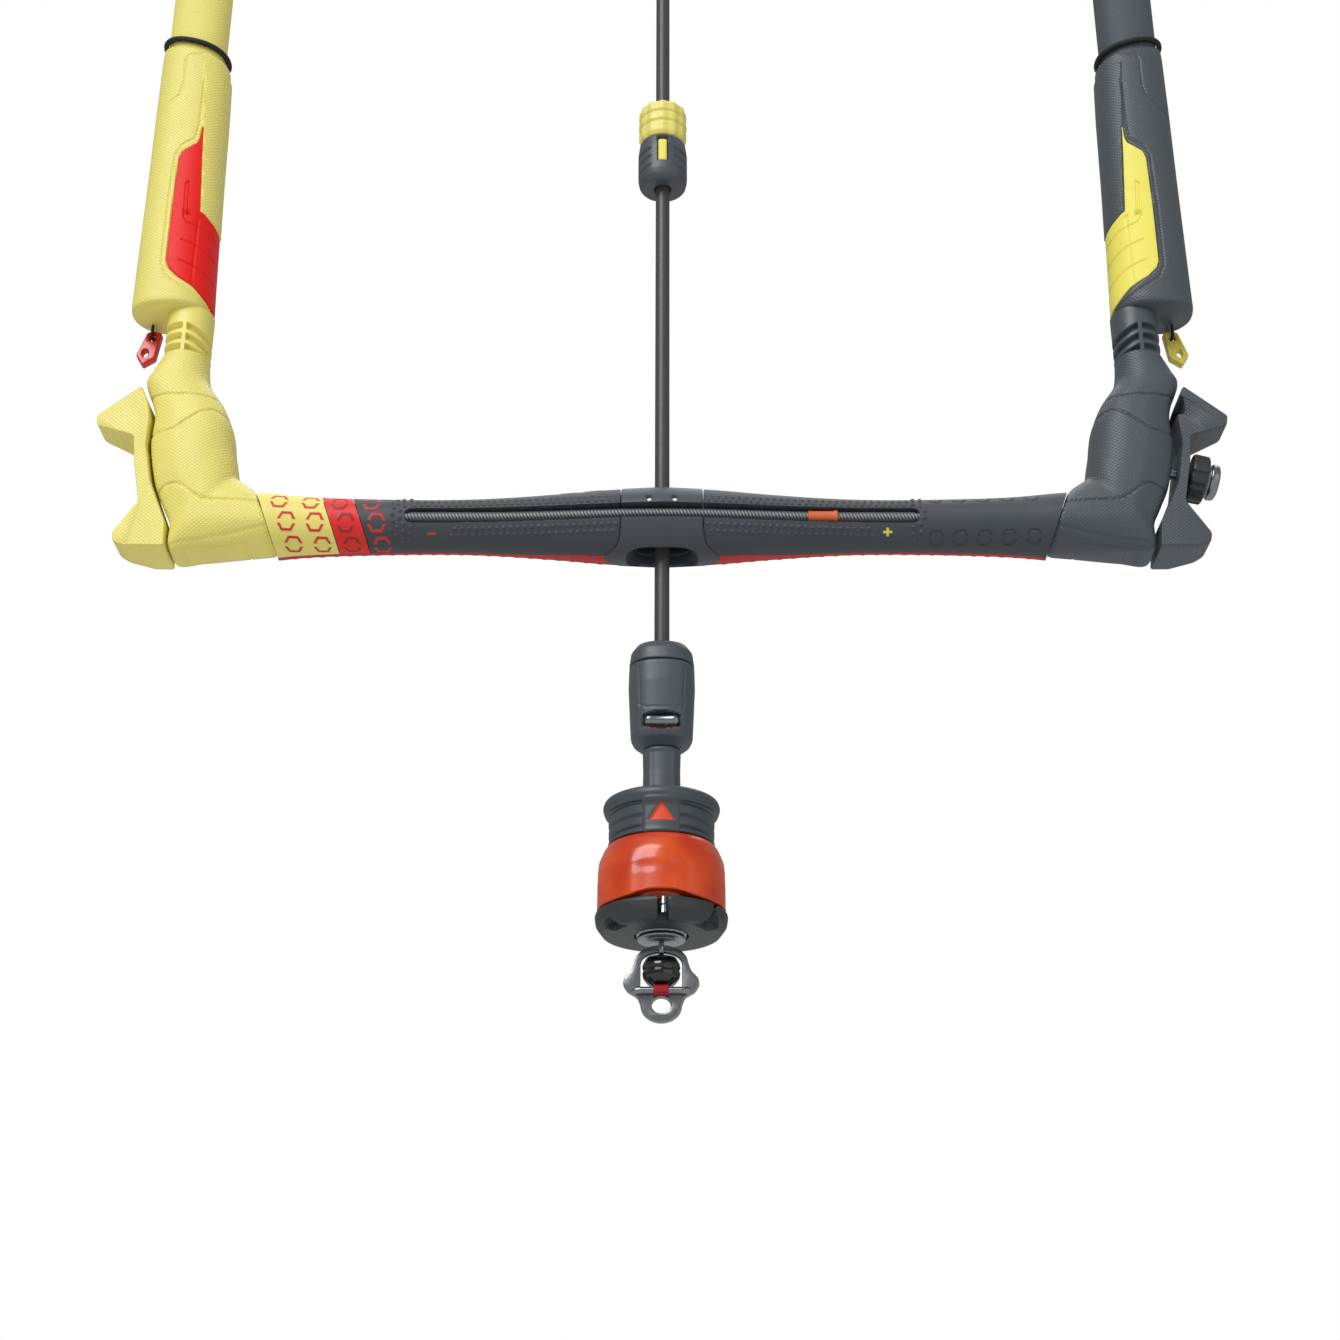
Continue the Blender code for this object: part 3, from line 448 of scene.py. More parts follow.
def aimed(grid, place, aim):
    """A grid about the Z axis, moved so that Z runs along aim from place."""
    along = np.array(aim, float) / np.linalg.norm(aim)
    side = np.cross((0, 1, 0) if abs(along[1]) < 0.9 else (1, 0, 0), along)
    side /= np.linalg.norm(side)
    return np.array(place) + grid @ np.array([side, np.cross(along, side), along])


def tube_grid(path, radius, steps=20, braid=0.0, pitch=2.4):
    """A circle carried along a path; braid raises two crossing sets of strands on it."""
    path = np.array(path, float)
    along = np.gradient(path, axis=0)
    along /= np.linalg.norm(along, axis=1, keepdims=True)
    up = np.eye(3)[np.abs(along).max(axis=0).argmin()]
    side = np.cross(along, up)
    side /= np.linalg.norm(side, axis=1, keepdims=True)
    over = np.cross(side, along)
    angle = np.linspace(0, 2 * math.pi, steps, endpoint=False)
    far = np.r_[0, np.cumsum(np.linalg.norm(np.diff(path, axis=0), axis=1))][:, None]
    turn = 2 * math.pi * far / pitch
    wave = np.cos(turn + 3 * angle) * np.cos(turn - 3 * angle)
    reach = (radius + braid * wave)[..., None]
    return path[:, None] + reach * (side[:, None] * np.cos(angle)[None, :, None]
                                    + over[:, None] * np.sin(angle)[None, :, None])


def line_distance(x, z, points):
    """Distance from each (x, z) to a polyline: the least over its straight pieces."""
    least = np.full(np.broadcast(x, z).shape, 1e9)
    for (ax, az), (bx, bz) in zip(points, points[1:]):
        dx, dz = bx - ax, bz - az
        share = np.clip(((x - ax) * dx + (z - az) * dz) / (dx * dx + dz * dz), 0, 1)
        least = np.minimum(least, np.hypot(x - ax - share * dx, z - az - share * dz))
    return least


def groove(x, z, points, half=0.45, depth=0.55):
    """A groove of a round section along a polyline, as a height below zero."""
    return -depth * smooth(1.6 - line_distance(x, z, points) / half)


def hexagon(dx, dz, half=5.0, stroke=1.45):
    """Ink share of an open hexagon: a six-sided outline with its left and right points cut."""
    reach = np.maximum(np.abs(dz), np.abs(dx) * 0.98 + np.abs(dz) * 0.5) - half + stroke / 2
    return inside(np.abs(reach) - stroke / 2, 0.35) * inside(1.0 - np.abs(dz), 0.4)


# --- line and stopper ---------------------------------------------------------------------

def make_line():
    """The coated line, straight and taut from the release head to the swaged eye."""
    curve = bpy.data.curves.new("line_cover", "CURVE")
    curve.dimensions = "3D"
    curve.bevel_depth = LINE_RADIUS * MM
    curve.bevel_resolution = 8
    curve.use_fill_caps = True
    spline = curve.splines.new("POLY")
    spline.points.add(29)
    heights = below_eye(np.linspace(*LINE_SPAN, 30))
    for point, z in zip(spline.points, heights):
        point.co = (0, 0, z, 1)
    spline.use_smooth = True
    line = bpy.data.objects.new("line_cover", curve)
    bpy.context.scene.collection.objects.link(line)
    dress(line, "line", "line_coating", "line", "depower_line")


def make_stopper():
    """The stopper's grey body with its window, and the yellow ring that locks it."""
    body = ((4.3, 236.0), (11.2, 236.0), (12.4, 234.6), (13.3, 228.0), (13.3, 213.0),
            (12.6, 209.4), (10.6, 207.0), (4.3, 207.0))
    grid = turned_grid(body, 160, closed=True, power=2.25)
    x, y, z = np.moveaxis(grid, -1, 0)
    front = inside(y + 6.0, 2.0)
    window = inside(np.maximum(np.abs(x) - 2.9, np.abs(z - 226.0) - 8.2)) * front
    height = -3.4 * window
    for level in (214.0, 219.5, 225.0):
        for side in (-1, 1):
            slot = ((5.6 * side, level + 2.0), (12.6 * side, level - 0.6))
            height = height + groove(x, z, slot, 0.5, 0.8) * inside(np.abs(y) - 12.0)
    grid = lift(grid, height * inside(13.9 - np.hypot(x, y) - 2.2, 0.6), True)
    dress(skin("stopper_shell", grid, None), "stopper", "slate_plastic", "slate",
          "stopper_body")
    tongue = ((0, 7.4), (2.3, 7.0), (2.5, 6.0), (2.5, -6.0), (2.3, -7.0), (0, -7.4))
    grid = turned_grid(tongue, 48, power=4.0)
    grid = grid + (0, -10.6, 224.6)
    dress(skin("stopper_tongue", grid), "stopper", "yellow_plastic", "lemon_insert",
          "stopper_insert")
    lock = ((4.3, 259.0), (11.0, 259.0), (12.6, 257.4), (12.8, 252.6), (11.7, 251.4),
            (12.8, 250.2), (12.9, 246.2), (11.7, 245.0), (12.8, 243.8), (12.6, 238.6),
            (11.4, 236.3), (4.3, 236.3))
    grid = turned_grid(lock, 160, closed=True, soften=0.4, step=0.4)
    angle = np.arctan2(grid[..., 1], grid[..., 0])
    outer = inside(11.0 - np.hypot(grid[..., 0], grid[..., 1]), 1.0)
    grid = lift(grid, 0.3 * np.cos(12 * angle) * outer, True)
    dress(skin("stopper_lock", grid, None), "stopper_ring", "yellow_plastic", "lemon",
          "stopper_ring")


# --- quick release ------------------------------------------------------------------------

def make_head():
    """The squared head and its cap, with panel seams and a window sunk into its front."""
    cap = ((4.2, -67.0), (8.0, -67.0), (12.6, -68.6), (15.2, -72.4), (16.0, -78.9),
           (4.2, -78.9))
    grid = turned_grid(cap, 160, closed=True, power=2.5)
    dress(skin("head_cap_shell", grid, None), "line", "slate_plastic", "slate", "head_cap")
    body = ((0, -79.3), (15.4, -79.3), (16.0, -80.2), (16.2, -90.0), (15.4, -108.0),
            (15.0, -115.6), (13.8, -118.2), (9.2, -122.0), (0, -122.0))
    grid = turned_grid(body, 200, power=2.5)
    x, y, z = np.moveaxis(grid, -1, 0)
    front = inside(y + 4.0, 3.0)
    window = np.maximum(np.abs(x) - 9.4, np.abs(z + 111.0) - 4.3 + 0.02 * x * x)
    height = -6.8 * inside(window, 0.7) * front
    for side in (-1, 1):
        for back in (-1, 1):
            panel = ((side * 11.2, -83.0), (side * 10.4, -104.0))
            height = height + groove(x, z, panel, 0.35, 0.35) * inside(-back * y + 4, 3.0)
    height = height + groove(x, z, ((-12, -101.5), (-7, -104.6), (7, -104.6), (12, -101.5)),
                             0.35, 0.3) * front
    dress(skin("head_shell", lift(grid, height)), "line", "slate_plastic", "slate",
          "release_head")


def make_head_pin():
    """The thick cross pin in the head's window, and the lashing that shows below it."""
    ends = np.linspace(-8.6, 8.6, 60)
    route = np.column_stack([ends, -11.2 - 0.012 * ends ** 2, np.full(60, -110.4)])
    taper = np.sqrt(np.clip(1 - (np.abs(ends) / 8.65) ** 8, 0.01, 1))[:, None]
    grid = tube_grid(route, 3.0 * taper, 28)
    dress(skin("head_pin_bar", grid), "line", "steel", "steel", "head_pin")
    route = route[4:-4] + (0, 0.4, -2.9)
    dress(skin("pin_lashing", tube_grid(route, 0.7, 16, 0.08, 1.2)), "line", "red_cord",
          "lashing")


def make_stem():
    """The stem that the sleeve slides on, with its ring and a shallow panel in front."""
    stem = ((0, -122.3), (9.2, -122.3), (8.9, -134.0), (9.3, -149.7), (11.4, -150.0),
            (11.4, -153.0), (8.8, -153.3), (8.8, -180.7), (0, -180.7))
    grid = turned_grid(stem, 120, power=2.3)
    x, y, z = np.moveaxis(grid, -1, 0)
    panel = np.maximum(np.abs(x) - 5.2, np.abs(z + 135.5) - 11.0)
    height = -0.5 * inside(panel, 0.5) * inside(y + 3.0, 1.5)
    dress(skin("stem_shell", lift(grid, height)), "line", "slate_plastic", "slate",
          "release_stem")


def make_collar():
    """The ribbed collar, with a framed triangle on its front."""
    collar = ((12.0, -147.6), (24.0, -148.0), (27.2, -149.6), (28.0, -152.2), (26.8, -155.6),
              (25.2, -157.6), (25.0, -169.0), (25.5, -171.0), (9.5, -171.0), (9.5, -168.3),
              (12.0, -168.3))
    grid = turned_grid(collar, 200, closed=True, step=0.45, soften=0.8)
    x, y, z = np.moveaxis(grid, -1, 0)
    front = inside(y + 8.0, 4.0)
    outer = inside(23.5 - np.hypot(x, y), 0.8)
    beside = inside(9.4 - np.abs(x), 0.8) * front + (1 - front)
    height = np.zeros_like(x)
    for level in (-156.8, -162.6, -168.2):
        height = height - 1.15 * inside(np.abs(z - level) - 0.75, 0.9) * beside
    frame_edge = np.maximum(np.abs(x) - 8.2, np.abs(z + 163.0) - 8.6)
    height = height + 0.5 * inside(frame_edge, 0.8) * front
    triangle = np.maximum(np.abs(x) - (-z - 156.6) * 0.66, -z - 165.6)
    height = height - 0.9 * inside(triangle, 0.4) * front
    ink = inside(triangle, 0.25) * front * outer
    grid = lift(grid, height * outer, True)
    dress(skin("collar_shell", grid, None, {"inlay": ink}), "release_sleeve", "slate_plastic",
          "collar", "release_collar")


def make_cuff():
    """The clear orange cuff: four flats, and a lower edge that rises at the front."""
    cuff = ((23.2, -171.3), (25.4, -171.6), (27.2, -174.2), (29.6, -180.0), (31.0, -186.0),
            (31.3, -193.0), (31.3, -203.6), (23.2, -203.6))
    grid = turned_grid(cuff, 200, closed=True, step=0.45, soften=0.8)
    x, y, z = np.moveaxis(grid, -1, 0)
    outer = inside(24.6 - np.hypot(x, y), 1.2)
    angle = np.arctan2(y, x)
    flat = np.zeros_like(x)
    for facing in (-math.pi / 2, math.pi / 2, 0.14, math.pi - 0.14):
        turn = np.abs((angle - facing + math.pi) % (2 * math.pi) - math.pi)
        flat = flat - 1.5 * inside(turn - 0.36, 0.3) * smooth((-z - 178.0) / 12)
    low = 2.2 * smooth(1 - np.abs(x) / 26.0) * inside(y, 8.0) * smooth((-z - 190.0) / 13.6)
    grid[..., 2] += low * outer
    grid = lift(grid, flat * outer, True)
    dress(skin("cuff_shell", grid, None), "release_sleeve", "orange_cuff", "cuff",
          "release_cuff")


def make_base():
    """The dark base, with its latch slot and two pockets in front."""
    base = ((0, -181.0), (20.0, -181.0), (22.5, -184.0), (22.5, -204.0), (30.6, -204.0),
            (31.2, -205.6), (30.6, -209.6), (27.4, -214.0), (24.0, -214.5), (12.6, -214.5),
            (12.6, -210.6), (6.9, -210.6), (6.9, -202.0), (0, -202.0))
    grid = turned_grid(base, 200, step=0.5, soften=0.5)
    x, y = np.moveaxis(grid, -1, 0)[:2]
    outer = inside(23.2 - np.hypot(x, y), 0.8)
    slot = np.maximum(np.abs(x - 0.6) - 2.2, np.abs(y + 28.0) - 7.0)
    left = np.hypot((x + 20.0) / 1.3, y + 14.0) - 4.4
    right = np.maximum(np.abs(x - 21.0) - 4.8, np.abs(y + 15.0) - 4.4)
    height = -3.6 * inside(slot, 0.6) - 3.4 * inside(left, 0.6) - 3.4 * inside(right, 0.6)
    dress(skin("base_shell", lift(grid, height * outer)), "line", "black_plastic", "black",
          "release_base")


def make_swivel():
    """The bearing's cage of rollers, the flanged spindle, and the ring below it."""
    race = ((6.9, -211.0), (11.4, -211.0), (11.4, -214.8), (6.9, -214.8))
    grid = turned_grid(race, 288, closed=True, step=0.4, soften=0.3)
    x, y, z = np.moveaxis(grid, -1, 0)
    rollers = 0.9 * np.sqrt(np.abs(np.sin(8 * np.arctan2(y, x))))
    band = inside(np.abs(z + 212.9) - 1.3, 0.4) * inside(9.4 - np.hypot(x, y), 0.8)
    grid = lift(grid, rollers * band, True)
    dress(skin("roller_cage", grid, None), "bearing_cage", "steel", "steel", "bearing_cage")
    spindle = ((0, -203.0), (6.5, -203.0), (6.5, -215.1), (11.2, -215.1), (11.5, -216.0),
               (11.0, -216.7), (8.0, -216.9), (7.6, -217.5), (3.4, -217.6), (0, -217.6))
    grid = turned_grid(spindle, 120, step=0.3, soften=0.3)
    dress(skin("spindle_shell", grid), "swivel", "steel", "steel", "swivel_spindle")
    angle = np.linspace(0, 2 * math.pi, 72, endpoint=False)
    ring = np.column_stack([0 * angle, 4.0 * np.cos(angle), 4.0 * np.sin(angle) - 220.6])
    dress(skin("spindle_ring", ring_tube(ring, 1.25), None), "swivel", "steel", "steel")


def ring_tube(loop, radius, steps=18):
    """A circle carried round a closed flat loop of points, about the loop's own centre."""
    centre = loop.mean(axis=0)
    along = np.roll(loop, -1, axis=0) - np.roll(loop, 1, axis=0)
    along /= np.linalg.norm(along, axis=1, keepdims=True)
    normal = np.cross(loop - centre, along)
    normal /= np.linalg.norm(normal, axis=1, keepdims=True)
    side = np.cross(along, normal)
    angle = np.linspace(0, 2 * math.pi, steps, endpoint=False)[None, :, None]
    return loop[:, None] + radius * (side[:, None] * np.cos(angle)
                                     + normal[:, None] * np.sin(angle))


def plate(name, outlines, y, half, edge):
    """Outlines in the XZ plane filled to a plate with rounded edges: first edge, then holes."""
    curve = bpy.data.curves.new(name, "CURVE")
    curve.dimensions = "2D"
    curve.fill_mode = "BOTH"
    curve.extrude = (half - edge) * MM
    curve.bevel_depth = edge * MM
    curve.bevel_resolution = 3
    curve.offset = -edge * MM
    for outline in outlines:
        spline = curve.splines.new("POLY")
        spline.points.add(len(outline) - 1)
        flat = np.column_stack([outline * MM, np.zeros(len(outline)), np.ones(len(outline))])
        spline.points.foreach_set("co", flat.ravel())
        spline.use_cyclic_u = True
    drawn = bpy.data.objects.new(name, curve)
    data = bpy.data.meshes.new_from_object(drawn)
    bpy.data.objects.remove(drawn)
    places = np.zeros(len(data.vertices) * 3)
    data.vertices.foreach_get("co", places)
    x, z, out = places.reshape(-1, 3).T
    turned = np.column_stack([x, y * MM - out, z - EYE_ABOVE_BAR * MM])
    data.vertices.foreach_set("co", turned.ravel())
    data.update()
    weld(data)
    return stand(name, data, 30)


def weld(data):
    """Join the doubled points of a filled curve's mesh and face it outwards."""
    built = bmesh.new()
    built.from_mesh(data)
    bmesh.ops.remove_doubles(built, verts=built.verts, dist=0.000002)
    bmesh.ops.recalc_face_normals(built, faces=built.faces)
    built.to_mesh(data)
    built.free()


def arc(centre, radius, start, end, squash=1.0, count=14):
    """Points on a squashed circle between two angles in degrees."""
    angle = np.radians(np.linspace(start, end, count))
    return [(centre[0] + radius * math.cos(a), centre[1] + radius * squash * math.sin(a))
            for a in angle]


def make_shackle():
    """The steel shackle plate, the ball in its window, the tie bar and its red lashing."""
    right = [(12.4, -227.0), (13.8, -231.0), (17.2, -234.5), (17.7, -237.5), (15.6, -241.0),
             (11.0, -243.6), (9.6, -247.0)]
    left = [(-x, z) for x, z in right]
    edge = arc((0, -227.0), 12.4, 0, 180, 0.66)[:-1] + left
    edge += arc((0, -247.2), 9.6, 180, 360, 0.85)[1:-1] + right[::-1][:-1]
    window = arc((0, -227.5), 9.6, 0, 180, 0.53) + [(-9.6, -239.6), (9.6, -239.6)]
    eye = arc((0, -247.4), 4.4, 0, 345, 0.85, 24)
    outlines = [trace(edge, 0.5, 1.0, True), trace(window, 0.4, 0.8, True),
                trace(eye, 0.4, 0.0, True)]
    dress(plate("shackle_plate", outlines, 0, 1.8, 0.6), "shackle", "steel", "steel",
          "shackle")
    ball = ((0, -228.0), (5.6, -228.0), (6.0, -224.8), (7.0, -225.0), (8.6, -228.0),
            (9.0, -231.0), (8.4, -234.6), (6.4, -237.2), (3.2, -238.8), (0, -239.2))
    grid = turned_grid(ball, 96, step=0.4)
    x, y, z = np.moveaxis(grid, -1, 0)
    band = inside(np.abs(z + 231.0) - 0.9, 0.6) * inside(7.0 - np.hypot(x, y), 0.6)
    dress(skin("shackle_ball_shell", lift(grid, -0.5 * band)), "shackle", "black_plastic",
          "gloss_black", "shackle_ball")
    route = trace([(-12.6, -3.8, -241.2), (-11.2, -4.8, -241.2), (11.2, -4.8, -241.2),
                   (12.6, -3.8, -241.2)], 0.5, 1.0)
    dress(skin("tie_bar_shell", tube_grid(route, 1.6)), "shackle", "steel", "steel", "tie_bar")
    route = np.column_stack([np.linspace(-3.5, 3.5, 90), np.full(90, -4.8), np.full(90, -241.2)])
    grid = tube_grid(route, 2.4, 32, 0.3, 1.4)
    dress(skin("lashing_wrap", grid), "shackle", "red_cord", "lashing", "red_lashing")


# --- bar ----------------------------------------------------------------------------------

def bar_radius(x):
    """The bar's radius at a distance from its middle."""
    return eased(np.abs(x), RADIUS_AT, RADII)


def line_bow(x):
    """How far the trim line stands forward of its straight run, over the bar's thick middle."""
    return TRIM_BOW * smooth(1 - np.abs(x) / 92.0)


def slot_distance(x, s):
    """Distance outside the long slot with round ends; below zero is inside it."""
    return np.hypot(np.maximum(np.abs(x) - SLOT_END, 0), s) - SLOT_HALF


def cut_slot(grid, s, floor):
    """Sink the points inside the slot's outline straight back to a flat floor."""
    sunk = inside(slot_distance(grid[..., 0], s), 0.4) * (grid[..., 1] < 0)
    grid = grid.copy()
    grid[..., 1] += (np.maximum(grid[..., 1], -floor) - grid[..., 1]) * sunk
    return grid


def grip_bumps(x, s):
    """Round bumps in staggered rows beside the slot and in rings about its ends."""
    height = np.zeros_like(x)
    far = np.abs(x)
    for level, shift in ((5.6, 0), (9.1, 1.75), (-7.4, 0), (-10.9, 1.75)):
        dx = (far + shift) % 3.5 - 1.75
        reach = smooth(1.3 - np.hypot(dx, s - level) / 0.95)
        clear = inside(np.maximum(22.0 - far, far - 125.5), 0.2)
        if level < 0:
            clear = clear * inside(far - 106.0, 0.2)
        height = height + reach * clear
    for ring in range(3):
        reach_out = 6.6 + 3.5 * ring
        count = 6 + 3 * ring
        for i in range(count):
            turn = math.radians(-84 + 168 * i / (count - 1))
            cx, cs = SLOT_END + reach_out * math.cos(turn), reach_out * math.sin(turn)
            height = height + smooth(1.3 - np.hypot(far - cx, s - cs) / 0.95)
    return 0.75 * np.clip(height, 0, 1)


def left_hexes(x, s):
    """Ink on the left grip's three slanted rows of hexagons."""
    ink = np.zeros_like(x)
    rows = ((7.7, (191.5, 175.9, 161.5, 145.5)), (-4.4, (187.1, 173.0, 157.8, 142.3)),
            (-16.7, (183.8, 169.6, 154.9, 139.8)))
    for level, columns in rows:
        for column in columns:
            ink = np.maximum(ink, hexagon(x + column, s - level))
    return ink


def right_hexes(x, s):
    """The right grip's two rows of engraved hexagons."""
    cut = np.zeros_like(x)
    for level in (12.6, -12.6):
        for i in range(5):
            cut = np.maximum(cut, hexagon(x - 137.0 - 12.1 * i, s - level, 4.3, 1.1))
    return cut


def palm_tabs(x, s):
    """Red tongues of the palm shell that lap over the top of the left grip."""
    across = np.minimum(np.abs(x + 34.5) - 4.2, np.abs(x + 47.0) - 4.2)
    return inside(np.maximum(across, bar_radius(x) * 1.02 - s), 0.4)


def minus_sign(x, s):
    """The minus sign at the depower end of the slot."""
    return inside(np.maximum(np.abs(x + 115.0) - 2.2, np.abs(s + 9.9) - 0.55), 0.3)


def plus_sign(x, s):
    """The plus sign at the power end of the slot."""
    dx, ds = np.abs(x - 112.6), np.abs(s + 9.0)
    across = np.maximum(dx - 2.2, ds - 0.6)
    return inside(np.minimum(across, np.maximum(dx - 0.6, ds - 2.2)), 0.3)


def shell_grid(side, start, end, slant_start, slant_end, angles, step, front):
    """One shell of the grip: an arc at the bar's radius, closed by an arc at the core's.

    Beside the block the front shell's lower edge is swept up and the back shell's follows it,
    by an angle that falls to nothing along the bar. Returns the grid with the distance round
    the arc and the share of each point that is on the outer arc.
    """
    rows = max(int((end - start) / step), 4)
    share = np.linspace(0, 1, rows)[:, None]
    far = start + share * (end - start)
    slant = SEAM_SLOPE * (slant_start * (1 - share) + slant_end * share)
    back = np.linspace(angles[-1], angles[0], 22)
    turn = np.r_[angles, back][None, :] * np.ones_like(far)
    swept = 18.0 * smooth(1 - (far - GRIP_SPAN[0]) / 75.0)
    if front:
        turn = np.where(turn < -0.4, -0.4 + (turn + 0.4) * (1 - swept / 70.6), turn)
    else:
        turn = turn + np.radians(swept) * smooth((turn - math.pi) / 1.5)
    outer = np.r_[np.ones(len(angles)), np.zeros(len(back))][None, :]
    rough_z = bar_radius(far) * np.sin(turn)
    spread = far + slant * rough_z
    radius = np.where(outer > 0, bar_radius(spread), CORE_RADIUS)
    z = radius * np.sin(turn)
    x = side * (far + slant * z)
    y = -radius * np.cos(turn)
    grid = np.stack(np.broadcast_arrays(x, y, z), axis=-1)
    return grid, radius * turn, outer * np.ones_like(x)


def edge_fade(angles, count):
    """A share that is 0 at the two ends of an arc and 1 elsewhere, for all columns."""
    fade = smooth((np.arange(len(angles)) - 1) / 3.0)
    fade = np.minimum(fade, fade[::-1])
    return np.r_[fade, np.zeros(count - len(angles))][None, :]


def front_meets_block(start):
    """True for the two long front shells, which begin at the centre block."""
    return start == GRIP_SPAN[0]


def make_front_grip(name, side, start, end, slants, look, slot, pattern, node):
    """A front shell of the grip with its slot, bumps and marks."""
    angles = np.radians(np.r_[np.linspace(-93.5, -23, 58), np.linspace(-22, 22, 58),
                              np.linspace(23, 93.5, 58)])
    grid, s, outer = shell_grid(side, start, end, *slants, angles, 0.42, True)
    x = grid[..., 0]
    raised, ink, liner = pattern(x, s)
    radius = np.hypot(grid[..., 1], grid[..., 2])
    fade = edge_fade(angles, grid.shape[1]) * outer
    gap = np.abs(x) - block_reach(s / radius) - 0.3
    seam = -0.9 * inside(gap, 0.35) if front_meets_block(start) else 0.0
    grid = lift(grid, (raised * (1 - liner) + seam) * fade)
    grid = cut_slot(grid, np.where(outer > 0, s, grid[..., 2]), SLOT_FLOOR - 0.4 * (1 - outer))
    made = skin(name, grid, "flat", {"inlay": ink * fade, "liner": liner * fade})
    return dress(made, "bar", slot, look, node)


def left_pattern(x, s):
    """Bumps, red hexagons and the minus sign of the left shell."""
    ink = np.maximum(left_hexes(x, s), minus_sign(x, s))
    ink = np.maximum(ink, palm_tabs(x, s))
    liner = inside(slot_distance(x, s) + 0.2, 0.3)
    return grip_bumps(x, s) * inside(np.abs(x) - 136.0, 1.0) + 0.22 * ink, ink, liner


def right_pattern(x, s):
    """Bumps, engraved hexagons and the plus sign of the right shell."""
    ink = plus_sign(x, s)
    liner = inside(slot_distance(x, s) + 0.2, 0.3)
    cut = right_hexes(x, s)
    return grip_bumps(x, s) * inside(np.abs(x) - 132.0, 1.0) * (1 - cut) - 0.55 * cut \
        + 0.22 * ink, ink, liner


def band_pattern(x, s):
    """The coloured bands carry the hexagons only: red print on the yellow band, and on the red
    band outlines coloured a darker red as painted shade for their embossed edges.
    """
    ink = left_hexes(x, s)
    return 0.25 * ink, ink, np.zeros_like(x)


def make_grips():
    """The front shells, the coloured bands, and the red back shells."""
    make_front_grip("grip_shell_left", -1, GRIP_SPAN[0], 151.3, (0, 1), "grip_left", "slate_foam",
                    left_pattern, "grip_front_left")
    make_front_grip("grip_shell_right", 1, *GRIP_SPAN, (0, 1), "grip_right", "slate_foam",
                    right_pattern, "grip_front_right")
    make_front_grip("band_red_shell", -1, 151.7, 166.8, (1, 1), "band_red", "red_foam",
                    band_pattern, "grip_band_red")
    make_front_grip("band_yellow_shell", -1, 167.2, GRIP_SPAN[1], (1, 1), "band_yellow",
                    "yellow_foam", band_pattern, "grip_band_yellow")
    for side, word in ((-1, "left"), (1, "right")):
        make_palm(side, word)


def make_palm(side, word):
    """A red back shell, covered in fine dots between the centre block and the bar end."""
    angles = np.radians(np.linspace(94.4, 265.6, 100))
    grid, s = shell_grid(side, *GRIP_SPAN, 0, 1, angles, 0.8, False)[:2]
    x = np.abs(grid[..., 0])
    ribs = 0.25 * inside(np.abs(x % 7.0 - 3.5) - 1.1, 0.8)
    dots = ribs * inside(np.abs(s % 5.0 - 2.5) - 1.2, 0.8)
    covered = inside(np.maximum(26.0 - x, x - 186.0), 2.0)
    grid = lift(grid, dots * edge_fade(angles, grid.shape[1]) * covered)
    dress(skin(f"grip_palm_{word}", grid, "flat"), "bar", "red_foam", "red_rubber",
          f"grip_back_{word}")


def carve(obj, tools):
    """Cut tool pieces out of a piece, and leave one plain mesh."""
    for tool in tools:
        change = obj.modifiers.new("cut", "BOOLEAN")
        change.operation = "DIFFERENCE"
        change.solver = "EXACT"
        change.object = tool
    graph = bpy.context.evaluated_depsgraph_get()
    data = bpy.data.meshes.new_from_object(obj.evaluated_get(graph))
    obj.modifiers.clear()
    obj.data = data
    for tool in tools:
        bpy.data.objects.remove(tool)


def block_reach(turn):
    """Half the block's length at an angle round the bar: its lower edge runs out to points."""
    return eased(np.degrees(turn), (-180, -128, -108, -93, -81, -69, -57, -35, 0, 180),
                 (20.6, 20.6, 23.5, 29.1, 29.6, 26.3, 22.8, 20.8, 20.6, 20.6))


def block_end(side, half, turn):
    """Rows from the middle of one of the block's ends out under its rim, or back from it.

    Returns each row's X, its radius, and how much nearer the axis the slot's floor is there.
    """
    under = np.linspace(0.0, 1.0, 7)[:, None]
    x_under = side * (20.4 + (half - 20.5) * under)
    r_under = bar_radius(x_under) - 1.1
    disc = np.array([0.4, 8.0, 14.0])[:, None] + 0 * turn
    x = np.vstack([side * 20.4 + 0 * disc, x_under])
    radius = np.vstack([disc, r_under])
    sink = np.vstack([0.8 + 0 * disc, 0.4 + 0 * r_under])
    return x[::-side], radius[::-side], sink[::-side]


def block_grid():
    """The block's barrel with its slot and the rims of its sight holes, and its lined share."""
    turn = np.linspace(-math.pi, math.pi, 300, endpoint=False)[None, :]
    half = block_reach(turn)
    x_top = np.linspace(-1, 1, 150)[:, None] * half
    r_top = bar_radius(x_top) + 0.2 - 0.6 * smooth(1.2 - (half - np.abs(x_top)) / 0.6)
    left, right = block_end(-1, half, turn), block_end(1, half, turn)
    x, radius, sink = (np.vstack(rows) for rows in zip(left, (x_top, r_top, 0 * r_top), right))
    top = np.zeros((len(x), 1))
    top[len(left[0]):-len(right[0])] = 1.0
    s = radius * turn
    grid = np.stack([x, -radius * np.cos(turn), radius * np.sin(turn)], axis=-1)
    liner = inside(np.abs(s) - SLOT_HALF + 0.2, 0.3) * top
    rims = sum(inside(np.hypot(x - side * SIGHT_X, s - 7.5) - 1.7, 0.3) for side in (-1, 1))
    grid = lift(grid, -0.8 * rims * top)
    across = np.where(top > 0, s, radius * np.sin(turn))
    return cut_slot(grid, across, SLOT_FLOOR - sink), liner


